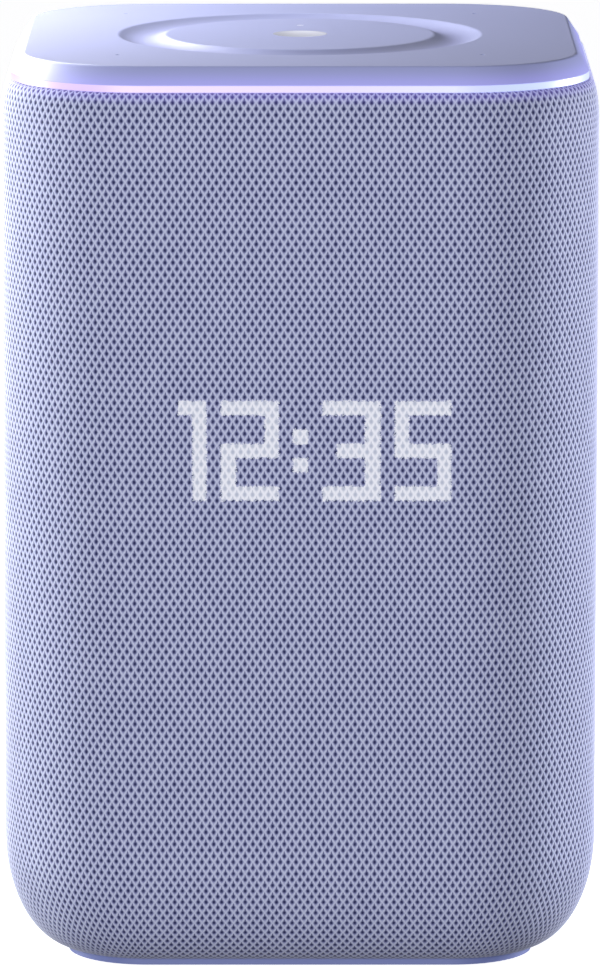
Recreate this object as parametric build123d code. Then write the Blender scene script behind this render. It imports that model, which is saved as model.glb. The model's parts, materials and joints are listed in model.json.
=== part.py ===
"""Table-top smart speaker: a rounded-square column in a knitted sleeve, with a touch dial on top.

Millimetres. +Z up, the clock faces -Y and the power socket faces +Y. The origin is on the
surface the speaker stands on, under the middle of the column.
"""
from build123d import *
from math import cos, radians, sqrt
import os

# ---- Driving dimensions: the column -------------------------------------------------------
WIDTH = 140.0                 # across X, over the sleeve
DEPTH = 140.0                 # along Y, over the sleeve
HEIGHT = 215.0                # from the table to the top face
CORNER_RADIUS = 34.0          # vertical corners, in plan
FIT_GAP = 0.05                # between pieces that are held together
PCB_THICKNESS = 1.6

# ---- Top: cover, light ring ---------------------------------------------------------------
TOP_INSET = 5.2               # edge of the flat top, from the outer face
BEVEL_DROP = 4.3              # height of the sloped rim of the cover
RING_INSET = 2.3              # outer face of the light ring
RING_HEIGHT = 1.5             # visible height of the light ring
RING_INNER_INSET = 12.0       # inner edge of the light ring
RING_LEG_WIDTH = 3.0          # leg that takes the light up from the lamps
RING_LEG_DEPTH = 4.2          # below the visible band
CAP_PLATE = 3.5               # cover thickness
GROOVE_OUTER_RADIUS = 43.2    # touch groove, at the top face
GROOVE_INNER_RADIUS = 32.0
GROOVE_DEPTH = 1.8
GROOVE_WALL_RUN = 3.2         # how far each groove wall leans over its depth
DIMPLE_RADIUS = 6.4           # shallow round dimple in the middle of the dial
DIMPLE_DEPTH = 0.5
MIC_OFFSET = 42.5             # microphone holes, from the middle in X and in Y
MIC_HOLE_RADIUS = 0.6
LENS_RADIUS = 0.9             # status light
LENS_OFFSET = 18.0            # behind the middle
CAP_BOSS_INSET = 18.0         # screw bosses under the cover, from the outer face
CAP_BOSS_RADIUS = 3.5

# ---- Sleeve and the rigid shell under it --------------------------------------------------
SLEEVE_THICKNESS = 1.0
SHOULDER_INSET = 2.2          # how far the sleeve leans in to the light ring
SHOULDER_HEIGHT = 9.0
FOOT_ROUND_IN = 16.0          # rounding at the bottom edge, across
FOOT_ROUND_UP = 27.0          # and up
TOP_HEM = 3.8                 # sleeve turned in under the light ring
BOTTOM_HEM = 3.5              # sleeve turned in over the base
SHELL_THICKNESS = 2.2
SHELL_TOP_FLANGE = 5.3        # width of the inward flange at the top
SHELL_BOTTOM_FLANGE = 10.0    # and at the bottom
SLOT_WIDTH = 17.0             # sound slots in the shell
SLOT_RIB = 4.5                # ribs between them
SLOTS_PER_SIDE = 4
SLOT_MARGIN = 8.0             # solid band above and below the slots
SLOT_CORNER = 4.0

# ---- Base ---------------------------------------------------------------------------------
BASE_INSET = 15.0             # edge of the base plate
FOOT_PROUD = 0.5              # rubber pad below the plate
FOOT_SEAT = 0.6               # depth of its seat in the plate
BASE_LIP_TOP = 2.0            # underside of the sleeve above the table
FOOT_EDGE_INSET = 19.0
FOOT_WIDTH = 8.0
BASE_POST_RADIUS = 4.2
BASE_HEAD_SEAT = 6.0          # height of the screw seats inside the posts
SHELL_SCREW_INSET = 22.5      # screws that hold the shell to the base, from the outer face
SHELL_BOSS_RADIUS = 3.2
SHELL_BOSS_HEIGHT = 4.0

# ---- Loudspeaker enclosure ----------------------------------------------------------------
ENCLOSURE_GAP = 16.0          # from the outer face to the enclosure
ENCLOSURE_CORNER = 5.0
ENCLOSURE_BOTTOM = 20.0       # above the table
ENCLOSURE_HEADROOM = 29.0     # from the enclosure to the top face
WALL = 3.0
BAFFLE_THICKNESS = 4.0
GASKET_THICKNESS = 1.0
BAFFLE_SCREW_INSET = 7.5      # from the enclosure's edge
BAFFLE_BOSS_RADIUS = 3.6
BAFFLE_BOSS_LENGTH = 12.0
TALL_POST_INSET = 7.0         # posts that carry the chassis, from the enclosure's edge
POST_RADIUS = 3.6

# ---- Woofer -------------------------------------------------------------------------------
WOOFER_FLANGE_RADIUS = 42.0
WOOFER_RISE = 2.0             # flange edge above the enclosure's bottom
WOOFER_FLANGE_THICKNESS = 2.2
DRIVER_FIT = 0.3              # round a driver's body in its opening
NECK_CLEARANCE = 1.0          # above the basket when the cone is fully in
NECK_LIP = 0.4                # cone's edge round the coil
DUST_CAP_REACH = 5.5          # rim of the dust cap, outside the coil
DUST_CAP_RISE = 3.5
DUST_CAP_LIFT = 0.3           # line of glue under the dust cap
SPIDER_LIFT = 1.4             # above the basket's floor
SPIDER_SHEET = 0.7
SPIDER_GAP = 0.2              # round the coil
WOOFER_GASKET = 0.8
WOOFER_OPEN_RADIUS = 36.0
WOOFER_CONE_RADIUS = 31.2
WOOFER_SCREW_RADIUS = 40.0
WOOFER_SCREWS = 6
BASKET_WALL = 1.5
BASKET_SEAT_RADIUS = 28.0
BASKET_DEPTH = 18.0
BASKET_WINDOWS = 6
BASKET_WINDOW_WIDTH = 12.0
POLE_RADIUS = 9.0
COIL_GAP = 0.35               # each side of the voice coil
COIL_THICKNESS = 0.6
TOP_PLATE_THICKNESS = 4.0
TOP_PLATE_RADIUS = 26.0
MAGNET_RADIUS = 28.0
MAGNET_BORE = 14.0
MAGNET_THICKNESS = 12.0
YOKE_PLATE = 4.0
POLE_VENT_RADIUS = 3.0
WOOFER_TRAVEL = 4.0
CONE_SHEET = 1.2
SURROUND_SHEET = 0.6
LIP_WIDTH = 2.2

# ---- Passive radiators --------------------------------------------------------------------
RADIATOR_FRAME_RADIUS = 38.0
RADIATOR_OPEN_RADIUS = 31.0
RADIATOR_PLATE_RADIUS = 24.5
RADIATOR_CENTRE_UP = 52.0     # above the enclosure's bottom
RADIATOR_FRAME_THICKNESS = 3.0
RADIATOR_PLATE_THICKNESS = 2.0
RADIATOR_WEIGHT_RADIUS = 12.0
RADIATOR_WEIGHT_THICKNESS = 4.0

# ---- Tweeters -----------------------------------------------------------------------------
TWEETER_OFFSET = 25.0
TWEETER_DROP = 21.0           # below the enclosure's top
TWEETER_FLANGE_RADIUS = 17.5
TWEETER_FLANGE_THICKNESS = 2.5
TWEETER_MOTOR_GAP = 0.05      # between the motor and the frame
TWEETER_COIL_GAP = (0.3, 1.2) # motor's slot, outside and inside the dome's edge
TWEETER_COIL_DEPTH = 5.0
DOME_LIFT = 0.6               # dome above the frame's back
DOME_SKIRT = (0.8, -3.5, 1.0) # former under the dome: thickness, foot and top
TWEETER_DOME_RADIUS = 12.0
TWEETER_RIM = 0.8
TWEETER_BODY_RADIUS = 14.0
TWEETER_BODY_DEPTH = 13.0
DOME_SHEET = 0.5
DOME_RISE = 4.0

# ---- Clock display ------------------------------------------------------------------------
DISPLAY_DROP = 89.0           # middle of the clock below the top face
CELL_PITCH = 3.34
CELL_COLUMNS = 21
CELL_ROWS = 7
CELL_WALL = 0.44
DIGIT_COLUMNS = 4
DIGIT_STARTS = (0, 5, 12, 17)
COLON_COLUMN = 10
COLON_ROWS = (2, 4)
MASK_MARGIN = 2.4             # round the cells, inside the window
WINDOW_CORNER = 1.0
MASK_FLANGE = 3.4             # beyond the window, behind the shell
MASK_FLANGE_THICKNESS = 1.7
DIFFUSER_THICKNESS = 0.3
LED_SIZE = (1.6, 1.6, 0.6)
DISPLAY_SCREW_OVERHANG = 1.7
DISPLAY_SCREW_TIP_GAP = 0.35   # its tip stays under the shell's outer face

# ---- Boards -------------------------------------------------------------------------------
TOUCH_BOARD_SIDE = 94.0
TOUCH_BOARD_GAP = 0.5         # foam between the cover and the touch board
MIC_SIZE = (3.6, 2.8, 1.0)
MIC_GASKET_RADIUS = 3.0
MIC_GASKET_GAP = 0.2          # round the sound hole
TOUCH_BOARD_CORNER = 8.0
MAIN_BOARD_CORNER = 3.0
MAIN_BOARD_SIDE = 84.0
MAIN_BOARD_LIFT = 4.0
BOARD_POST_INSET = 4.0
HEAT_SINK_SIZE = (44.0, 34.0, 2.0)
HEAT_SINK_FIN_HEIGHT = 4.6
HEAT_SINK_FIN = 1.4
HEAT_SINK_FINS = 9
SHIELD_SIZE = (30.0, 22.0, 2.4)
SHIELD_SHEET = 0.3
ANTENNA_SIZE = (0.8, 34.0, 8.0)
ANTENNA_OFFSET = 6.0          # from the enclosure's edge
CHASSIS_INSET = 3.6
CHASSIS_THICKNESS = 3.0
CHASSIS_DROP = 12.6           # chassis top below the top face
CHASSIS_OPENING = 62.0
LAMP_BOARD_OUTER_INSET = 7.6
LAMP_BOARD_WIDTH = 6.4
LAMP_SIZE = (2.0, 2.0, 0.7)
LAMPS_PER_SIDE = 5
LAMP_PITCH = 15.0
POWER_BOARD_SIDE = 62.0
POWER_BOARD_LIFT = 5.0        # above the base plate
INDUCTOR_SIZE = (10.0, 10.0, 5.0)
CAPACITOR_RADIUS = 3.2
CAPACITOR_HEIGHT = 5.4

# ---- Rear port ----------------------------------------------------------------------------
PORT_HEIGHT_ABOVE = 45.0      # middle of the port above the table
PORT_SIZE = (46.0, 17.0)
PORT_LIP = 3.0                # hidden flange round the port
PORT_LIP_THICKNESS = 1.9
PORT_FIT = 0.15
PORT_SPACING = 11.0           # socket and button, from the middle
SOCKET_NOSE_RADIUS = 3.9
SOCKET_BORE_RADIUS = 3.1
SOCKET_PIN_RADIUS = 1.0
SOCKET_DEPTH = 9.5
SOCKET_RECESS = 0.8
SOCKET_BODY = (9.6, 10.6)
BUTTON_RADIUS = 4.05
BUTTON_RUN_GAP = 0.1          # round the button
BUTTON_FLANGE = 0.9           # how far its stop stands out
BUTTON_FLANGE_THICKNESS = 1.1
BUTTON_TRAVEL = 0.6
BUTTON_RECESS = 0.1
SWITCH_SIDE = 6.0
SWITCH_HEIGHT = 3.4
PLUNGER_GRIP = 1.0            # how deep the plunger sits in the switch
PLUNGER_SPARE = 0.4           # room left under it when it is pressed
PLUNGER_RADIUS = 1.6
PORT_BOARD_SIZE = (48.0, 19.0)
PORT_BOARD_BACK = 2.0         # behind the enclosure, room for the screw heads
PORT_POST_OFFSET = 20.5
PORT_POST_RADIUS = 2.4

# ---- Fasteners: shank radius, head radius, head height ------------------------------------
SCREW_M3 = (1.5, 2.8, 2.4)
SCREW_M25 = (1.25, 2.3, 1.0)
SCREW_M2 = (1.0, 1.7, 1.0)
HEAD_GAP = 0.3                # round a sunk screw head
M3_HEAD_GAP = 0.4
HEAD_SINK = 0.2               # how far a driver's screw head lies below the face
SOCKET_DEPTH_SHARE = 0.4      # drive socket in a head, as a share of the head's height
SOCKET_WIDTH_SHARE = 0.5      # and of its radius
BOARD_SCREW_SHORT = 0.5       # a board's screw ends this far above the bottom of its post
CHASSIS_SCREW_BITE = 8.0      # thread of the chassis screws in the enclosure
DRIVER_SCREW_BITE = 7.0       # and of the driver and baffle screws in the tub
SHORT_POST_HEIGHT = 9.0       # post in the tub's floor, and hole in its tall posts
BASE_SCREW_HOLE = 8.1         # hole for the base screws in the short posts

# ---- Leads --------------------------------------------------------------------------------
LEAD_RADIUS = 1.5
LEAD_BEND = 6.0
RIBBON_WIDTH = 8.0
RIBBON_THICKNESS = 0.3
HARNESS_OFFSET = 34.0
POWER_LEAD_OFFSET = 16.0

# ---- Levels worked out from the driving dimensions ----------------------------------------
RING_TOP = HEIGHT - BEVEL_DROP
RING_BOTTOM = RING_TOP - RING_HEIGHT
SHOULDER_BOTTOM = RING_BOTTOM - SHOULDER_HEIGHT
FOOT_ROUND_TOP = BASE_LIP_TOP + FOOT_ROUND_UP
BASE_TOP = BASE_LIP_TOP + SLEEVE_THICKNESS + FIT_GAP
CAP_UNDERSIDE = HEIGHT - CAP_PLATE
CHASSIS_TOP = HEIGHT - CHASSIS_DROP
CHASSIS_BOTTOM = CHASSIS_TOP - CHASSIS_THICKNESS
SHELL_OUTER_INSET = SLEEVE_THICKNESS + FIT_GAP
SHELL_INNER_INSET = SHELL_OUTER_INSET + SHELL_THICKNESS
ENCLOSURE_TOP = HEIGHT - ENCLOSURE_HEADROOM
ENCLOSURE_X = WIDTH / 2 - ENCLOSURE_GAP
ENCLOSURE_Y = DEPTH / 2 - ENCLOSURE_GAP
BAFFLE_BACK = -ENCLOSURE_Y + BAFFLE_THICKNESS
TUB_FRONT = BAFFLE_BACK + GASKET_THICKNESS
WOOFER_Z = ENCLOSURE_BOTTOM + WOOFER_RISE + WOOFER_FLANGE_RADIUS
RADIATOR_Z = ENCLOSURE_BOTTOM + RADIATOR_CENTRE_UP
TWEETER_Z = ENCLOSURE_TOP - TWEETER_DROP
DISPLAY_Z = HEIGHT - DISPLAY_DROP
CELLS_WIDTH = CELL_PITCH * CELL_COLUMNS
CELLS_HEIGHT = CELL_PITCH * CELL_ROWS
WINDOW_WIDTH = CELLS_WIDTH + 2 * MASK_MARGIN
FLANGE_WIDTH = WINDOW_WIDTH + 2 * MASK_FLANGE
WINDOW_HEIGHT = CELLS_HEIGHT + 2 * MASK_MARGIN
SHELL_FRONT_INNER = -DEPTH / 2 + SHELL_INNER_INSET
SHELL_REAR_INNER = DEPTH / 2 - SHELL_INNER_INSET
MAIN_BOARD_BOTTOM = ENCLOSURE_TOP + MAIN_BOARD_LIFT
MAIN_BOARD_TOP = MAIN_BOARD_BOTTOM + PCB_THICKNESS
TOUCH_BOARD_TOP = CAP_UNDERSIDE - TOUCH_BOARD_GAP
TOUCH_BOARD_BOTTOM = TOUCH_BOARD_TOP - PCB_THICKNESS
PORT_BOARD_Y = ENCLOSURE_Y + PORT_BOARD_BACK
PORT_BOARD_FRONT = PORT_BOARD_Y + PCB_THICKNESS
PORT_LIP_BACK = SHELL_REAR_INNER - FIT_GAP - PORT_LIP_THICKNESS
POWER_BOARD_BOTTOM = BASE_TOP + POWER_BOARD_LIFT


# ---- Shape helpers ------------------------------------------------------------------------
def block(width, depth, low, high, radius=0.0):
    """A plate or box on the Z axis, with rounded vertical edges if a radius is given."""
    outline = RectangleRounded(width, depth, radius) if radius > 0 else Rectangle(width, depth)
    return Pos(0, 0, low) * extrude(outline, amount=high - low)


def column(inset, low, high):
    """The rounded-square column, an inset in from the outer face, between two heights."""
    return block(WIDTH - 2 * inset, DEPTH - 2 * inset, low, high, CORNER_RADIUS - inset)


def ring_column(outer_inset, inner_inset, low, high):
    """A rounded-square ring between two insets and two heights."""
    return column(outer_inset, low, high) - column(inner_inset, low, high)


def rod(radius, low, high, at=(0.0, 0.0)):
    """An upright round rod between two heights."""
    return Pos(at[0], at[1], low) * extrude(Circle(radius), amount=high - low)


def tube(outer, inner, low, high, at=(0.0, 0.0)):
    """An upright round tube between two heights."""
    return rod(outer, low, high, at) - rod(inner, low, high, at)


def turned(points):
    """A solid turned about Z from (radius, height) points."""
    return revolve(make_face(Plane.XZ * Polyline(*points, close=True)), Axis.Z)


def group(pieces):
    """Separate solids kept together in one node."""
    return Compound([solid for piece in pieces for solid in piece.solids()])


def at_corners(shape, x, y):
    """The shape repeated at (x, y) in all four quadrants."""
    return [Pos(sx * x, sy * y, 0) * shape for sx in (1, -1) for sy in (1, -1)]


def on_axes(shape, x, y):
    """The shape repeated on the two horizontal axes, x or y from the middle."""
    return [Pos(x, 0, 0) * shape, Pos(-x, 0, 0) * shape, Pos(0, y, 0) * shape, Pos(0, -y, 0) * shape]


def screw(size, length):
    """A pan-head screw that points down -Z, with its head standing on z = 0."""
    shank, head, height = size
    body = rod(head, 0, height) + rod(shank, -length, 0)
    hexagon = RegularPolygon(head * SOCKET_WIDTH_SHARE, 6)
    socket = Pos(0, 0, height * SOCKET_DEPTH_SHARE) * extrude(hexagon, amount=height)
    return body - socket


def screw_hole(size, low, high):
    """The clearance hole for a screw."""
    return rod(size[0] + FIT_GAP, low, high)


def swept_wall(profile):
    """A closed wall that carries a profile round the rounded-square plan.

    The profile stands in the XZ plane, with X measured outwards from the axis of the
    vertical corner and Z as height.
    """
    half_x = WIDTH / 2 - CORNER_RADIUS
    half_y = DEPTH / 2 - CORNER_RADIUS
    quarter = revolve(profile, Axis.Z, 90)
    side_x = Pos(half_x, half_y, 0) * extrude(profile, amount=2 * half_y, dir=(0, -1, 0))
    side_y = Rot(0, 0, 90) * Pos(half_y, half_x, 0) * extrude(profile, amount=2 * half_x, dir=(0, -1, 0))
    wall = Pos(half_x, half_y, 0) * quarter + side_x
    wall += Pos(-half_x, half_y, 0) * Rot(0, 0, 90) * quarter
    wall += Rot(0, 0, 180) * side_x
    wall += Pos(-half_x, -half_y, 0) * Rot(0, 0, 180) * quarter
    wall += Pos(half_x, -half_y, 0) * Rot(0, 0, 270) * quarter
    return wall + side_y + Rot(0, 0, 180) * side_y


def quarter_ellipse(centre, across, up, start):
    """A quarter of an ellipse, anticlockwise from the start angle."""
    return EllipticalCenterArc(centre, across, up, start_angle=start, arc_size=90)


def profile_face(*lines):
    """An upright face in the XZ plane from lines that close on themselves."""
    return make_face(Plane.XZ * (Curve() + list(lines)))


def front_slot(width, height, corner, z, low, high, x=0.0):
    """A rounded cutter through the wall that faces Y, from y = low to y = high."""
    outline = RectangleRounded(width, height, corner)
    return Plane((x, low, z), x_dir=(-1, 0, 0), z_dir=(0, 1, 0)) * extrude(outline, amount=high - low)


def roll(inner, outer, lip, sheet):
    """A half-roll surround from radius inner to outer, with a flat lip each side, lying on z = 0."""
    middle = (inner + outer) / 2
    radius = (outer - inner) / 2
    arch = Pos(middle, 0) * (Circle(radius) - Circle(radius - sheet))
    upper = Pos(middle, radius / 2) * Rectangle(2 * radius, radius)
    lips = Pos(inner - lip / 2 + sheet / 2, sheet / 2) * Rectangle(lip + sheet, sheet)
    lips += Pos(outer + lip / 2 - sheet / 2, sheet / 2) * Rectangle(lip + sheet, sheet)
    return revolve(Plane.XZ * ((arch & upper) + lips), Axis.Z)


# ---- Outside ------------------------------------------------------------------------------
def port_cutter(fit):
    """Cutter for the rear port's window through the sleeve and the shell."""
    width, height = (size + 2 * fit for size in PORT_SIZE)
    return front_slot(width, height, height / 2 - 0.01, PORT_HEIGHT_ABOVE,
                      SHELL_REAR_INNER - SHELL_THICKNESS, DEPTH / 2 + 1)


def fabric_sleeve():
    """The knitted sleeve, turned in under the light ring and over the base."""
    edge = CORNER_RADIUS
    low_centre = (edge - FOOT_ROUND_IN, FOOT_ROUND_TOP)
    top_centre = (edge - SHOULDER_INSET, SHOULDER_BOTTOM)
    thick = SLEEVE_THICKNESS
    hem_low = low_centre[0] - BOTTOM_HEM
    hem_top = top_centre[0] - TOP_HEM
    profile = profile_face(
        Line((hem_low, BASE_LIP_TOP), (low_centre[0], BASE_LIP_TOP)),
        quarter_ellipse(low_centre, FOOT_ROUND_IN, FOOT_ROUND_UP, 270),
        Line((edge, FOOT_ROUND_TOP), (edge, SHOULDER_BOTTOM)),
        quarter_ellipse(top_centre, SHOULDER_INSET, SHOULDER_HEIGHT, 0),
        Polyline((top_centre[0], RING_BOTTOM), (hem_top, RING_BOTTOM),
                 (hem_top, RING_BOTTOM - thick), (top_centre[0], RING_BOTTOM - thick)),
        quarter_ellipse(top_centre, SHOULDER_INSET - thick, SHOULDER_HEIGHT - thick, 0),
        Line((edge - thick, SHOULDER_BOTTOM), (edge - thick, FOOT_ROUND_TOP)),
        quarter_ellipse(low_centre, FOOT_ROUND_IN - thick, FOOT_ROUND_UP - thick, 270),
        Polyline((low_centre[0], BASE_LIP_TOP + thick), (hem_low, BASE_LIP_TOP + thick),
                 (hem_low, BASE_LIP_TOP)),
    )
    return swept_wall(profile) - port_cutter(FIT_GAP)


def slot_rows():
    """Heights (low, high) of the shell's slots on the plain sides."""
    low = FOOT_ROUND_TOP + SLOT_MARGIN
    high = SHOULDER_BOTTOM - SLOT_MARGIN
    middle = (low + high) / 2
    return [(low, middle - SLOT_RIB), (middle + SLOT_RIB, high)]


def slots(rows, low, high):
    """Cutters for the sound slots in one wall that faces Y."""
    pitch = SLOT_WIDTH + SLOT_RIB
    first = -pitch * (SLOTS_PER_SIDE - 1) / 2
    cutters = []
    for row_low, row_high in rows:
        for number in range(SLOTS_PER_SIDE):
            cutters.append(front_slot(SLOT_WIDTH, row_high - row_low, SLOT_CORNER, (row_low + row_high) / 2,
                                      low, high, x=first + pitch * number))
    return cutters


def grille_shell():
    """The stiff slotted shell that the sleeve is stretched over."""
    edge = CORNER_RADIUS
    outer = edge - SHELL_OUTER_INSET
    inner = edge - SHELL_INNER_INSET
    low_centre = (edge - FOOT_ROUND_IN, FOOT_ROUND_TOP)
    top_centre = (edge - SHOULDER_INSET, SHOULDER_BOTTOM)
    gap = SHELL_OUTER_INSET
    flange_in = low_centre[0] - SHELL_BOTTOM_FLANGE
    top_in = top_centre[0] - SHELL_TOP_FLANGE
    top = RING_BOTTOM - gap
    low = BASE_LIP_TOP + gap
    thick = SHELL_THICKNESS
    profile = profile_face(
        Line((flange_in, low), (low_centre[0], low)),
        quarter_ellipse(low_centre, FOOT_ROUND_IN - gap, FOOT_ROUND_UP - gap, 270),
        Line((outer, FOOT_ROUND_TOP), (outer, SHOULDER_BOTTOM)),
        quarter_ellipse(top_centre, SHOULDER_INSET - gap, SHOULDER_HEIGHT - gap, 0),
        Polyline((top_centre[0], top), (top_in, top), (top_in, top - thick),
                 (inner, top - thick), (inner, FOOT_ROUND_TOP)),
        quarter_ellipse(low_centre, FOOT_ROUND_IN - gap - thick, FOOT_ROUND_UP - gap - thick, 270),
        Polyline((low_centre[0], low + thick), (flange_in, low + thick), (flange_in, low)),
    )
    shell = swept_wall(profile)
    boss = rod(SHELL_BOSS_RADIUS, low + thick, low + thick + SHELL_BOSS_HEIGHT)
    for piece in on_axes(boss, WIDTH / 2 - SHELL_SCREW_INSET, DEPTH / 2 - SHELL_SCREW_INSET):
        shell += piece
    hole = screw_hole(SCREW_M25, low, low + thick + SHELL_BOSS_HEIGHT)
    cutters = on_axes(hole, WIDTH / 2 - SHELL_SCREW_INSET, DEPTH / 2 - SHELL_SCREW_INSET)

    through = (SHELL_REAR_INNER - 1, DEPTH / 2)
    window_low = DISPLAY_Z - WINDOW_HEIGHT / 2 - MASK_FLANGE - SLOT_RIB
    window_high = DISPLAY_Z + WINDOW_HEIGHT / 2 + MASK_FLANGE + SLOT_RIB
    rows = slot_rows()
    front_rows = [(rows[0][0], window_low), (window_high, rows[1][1])]
    port_top = PORT_HEIGHT_ABOVE + PORT_SIZE[1] / 2 + PORT_LIP + SLOT_RIB
    rear_rows = [(port_top, rows[0][1]), rows[1]]
    cutters += [Rot(0, 0, 180) * cutter for cutter in slots(front_rows, *through)]
    cutters += slots(rear_rows, *through)
    side = (WIDTH / 2 - SHELL_INNER_INSET - 1, WIDTH / 2)
    cutters += [Rot(0, 0, 90) * cutter for cutter in slots(rows, *side)]
    cutters += [Rot(0, 0, -90) * cutter for cutter in slots(rows, *side)]
    flange_front = display_levels()[1]
    cutters.append(front_slot(WINDOW_WIDTH, WINDOW_HEIGHT, WINDOW_CORNER, DISPLAY_Z,
                              -DEPTH / 2, flange_front + 1))
    cutters.append(port_cutter(PORT_FIT))
    cutters += display_screw_places(rod(SCREW_M2[0] + FIT_GAP, 0, flange_front + 1 + DEPTH / 2), -DEPTH / 2)
    return shell - cutters


def light_ring():
    """The milky ring of light under the cover, with a leg down to the lamps."""
    band = ring_column(RING_INSET, RING_INNER_INSET, RING_BOTTOM, RING_TOP)
    leg = ring_column(RING_INNER_INSET - RING_LEG_WIDTH, RING_INNER_INSET,
                      RING_BOTTOM - RING_LEG_DEPTH, RING_BOTTOM)
    return band + leg


def top_cap():
    """The moulded cover: sloped rim, sunk touch groove, dimple and microphone holes."""
    low = Pos(0, 0, RING_TOP) * RectangleRounded(WIDTH - 2 * RING_INSET, DEPTH - 2 * RING_INSET,
                                                 CORNER_RADIUS - RING_INSET)
    high = Pos(0, 0, HEIGHT) * RectangleRounded(WIDTH - 2 * TOP_INSET, DEPTH - 2 * TOP_INSET,
                                                CORNER_RADIUS - TOP_INSET)
    cap = loft([low.face(), high.face()])
    cap -= column(RING_INNER_INSET + FIT_GAP, RING_TOP, CAP_UNDERSIDE)
    floor = HEIGHT - GROOVE_DEPTH
    groove = turned([(GROOVE_INNER_RADIUS, HEIGHT), (GROOVE_INNER_RADIUS + GROOVE_WALL_RUN, floor),
                     (GROOVE_OUTER_RADIUS - GROOVE_WALL_RUN, floor), (GROOVE_OUTER_RADIUS, HEIGHT),
                     (GROOVE_OUTER_RADIUS, HEIGHT + 1), (GROOVE_INNER_RADIUS, HEIGHT + 1)])
    ball = (DIMPLE_RADIUS ** 2 + DIMPLE_DEPTH ** 2) / (2 * DIMPLE_DEPTH)
    dimple = Pos(0, 0, HEIGHT - DIMPLE_DEPTH + ball) * Sphere(ball)
    dimple &= block(4 * DIMPLE_RADIUS, 4 * DIMPLE_RADIUS, HEIGHT - 2 * DIMPLE_DEPTH, HEIGHT + 1)
    boss = tube(CAP_BOSS_RADIUS, SCREW_M25[0] + FIT_GAP, CHASSIS_TOP, CAP_UNDERSIDE)
    for piece in on_axes(boss, WIDTH / 2 - CAP_BOSS_INSET, DEPTH / 2 - CAP_BOSS_INSET):
        cap += piece
    holes = at_corners(rod(MIC_HOLE_RADIUS, CAP_UNDERSIDE - 1, HEIGHT + 1), MIC_OFFSET, MIC_OFFSET)
    holes.append(rod(LENS_RADIUS + FIT_GAP, CAP_UNDERSIDE - 1, HEIGHT + 1, (0, LENS_OFFSET)))
    return cap - groove - dimple - holes


def status_lens():
    """The small clear light pipe behind the dimple."""
    return rod(LENS_RADIUS, CAP_UNDERSIDE, HEIGHT - FIT_GAP, (0, LENS_OFFSET))


# ---- Base ---------------------------------------------------------------------------------
def base_plate():
    """The stiff floor of the speaker, with posts for the enclosure and a seat for the pad."""
    under = FOOT_PROUD
    plate = column(BASE_INSET, under, BASE_LIP_TOP)
    plate += column(FOOT_ROUND_IN + BOTTOM_HEM + FIT_GAP, BASE_LIP_TOP, BASE_TOP)
    seat = ring_column(FOOT_EDGE_INSET, FOOT_EDGE_INSET + FOOT_WIDTH, under, under + FOOT_SEAT)
    post = rod(BASE_POST_RADIUS, BASE_TOP, ENCLOSURE_BOTTOM)
    for piece in at_corners(post, *base_posts()):
        plate += piece
    stand = rod(SHELL_BOSS_RADIUS, BASE_TOP, POWER_BOARD_BOTTOM)
    for piece in at_corners(stand, *power_posts()):
        plate += piece
    head = rod(SCREW_M3[1] + M3_HEAD_GAP, 0, BASE_HEAD_SEAT)
    cutters = at_corners(head + screw_hole(SCREW_M3, 0, ENCLOSURE_BOTTOM), *base_posts())
    shell_seat = rod(SCREW_M25[1] + HEAD_GAP, under, under + FOOT_SEAT + SCREW_M25[2] + FIT_GAP)
    shell_hole = shell_seat + screw_hole(SCREW_M25, under, BASE_TOP)
    cutters += on_axes(shell_hole, WIDTH / 2 - SHELL_SCREW_INSET, DEPTH / 2 - SHELL_SCREW_INSET)
    cutters += at_corners(screw_hole(SCREW_M2, BASE_TOP, POWER_BOARD_BOTTOM), *power_posts())
    return plate - seat - cutters


def base_posts():
    """X and Y of the posts between the base and the enclosure."""
    return ENCLOSURE_X - ENCLOSURE_GAP, ENCLOSURE_Y - ENCLOSURE_GAP


def power_posts():
    """X and Y of the power board's posts."""
    return (POWER_BOARD_SIDE / 2 - BOARD_POST_INSET,) * 2


def foot_pad():
    """The rubber ring that the speaker stands on."""
    return ring_column(FOOT_EDGE_INSET + FIT_GAP, FOOT_EDGE_INSET + FOOT_WIDTH - FIT_GAP,
                       0, FOOT_PROUD + FOOT_SEAT)


def base_parts():
    """Base plate, pad and the screws that are driven from below."""
    up = Pos(0, 0, BASE_HEAD_SEAT) * Rot(180, 0, 0) * screw(SCREW_M3, ENCLOSURE_BOTTOM + 8 - BASE_HEAD_SEAT)
    seat = FOOT_PROUD + FOOT_SEAT + SCREW_M25[2] + FIT_GAP
    shell_up = Pos(0, 0, seat) * Rot(180, 0, 0) * screw(SCREW_M25, BASE_TOP + SHELL_THICKNESS + 3 - seat)
    return {
        "base_plate": base_plate(),
        "foot_pad": foot_pad(),
        "base_screws": group(at_corners(up, *base_posts())),
        "shell_screws": group(on_axes(shell_up, WIDTH / 2 - SHELL_SCREW_INSET,
                                      DEPTH / 2 - SHELL_SCREW_INSET)),
    }


# ---- Top chassis and what it carries ------------------------------------------------------
def tall_posts():
    """X and Y of the posts that carry the chassis."""
    return ENCLOSURE_X - TALL_POST_INSET, ENCLOSURE_Y - TALL_POST_INSET


def top_chassis():
    """The frame that ties the enclosure, the shell and the cover together."""
    plate = column(CHASSIS_INSET, CHASSIS_BOTTOM, CHASSIS_TOP)
    plate -= block(CHASSIS_OPENING, CHASSIS_OPENING, CHASSIS_BOTTOM, CHASSIS_TOP, CAP_BOSS_RADIUS)
    holes = at_corners(screw_hole(SCREW_M3, CHASSIS_BOTTOM, CHASSIS_TOP), *tall_posts())
    holes += on_axes(screw_hole(SCREW_M25, CHASSIS_BOTTOM, CHASSIS_TOP),
                     WIDTH / 2 - CAP_BOSS_INSET, DEPTH / 2 - CAP_BOSS_INSET)
    return plate - holes


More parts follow.
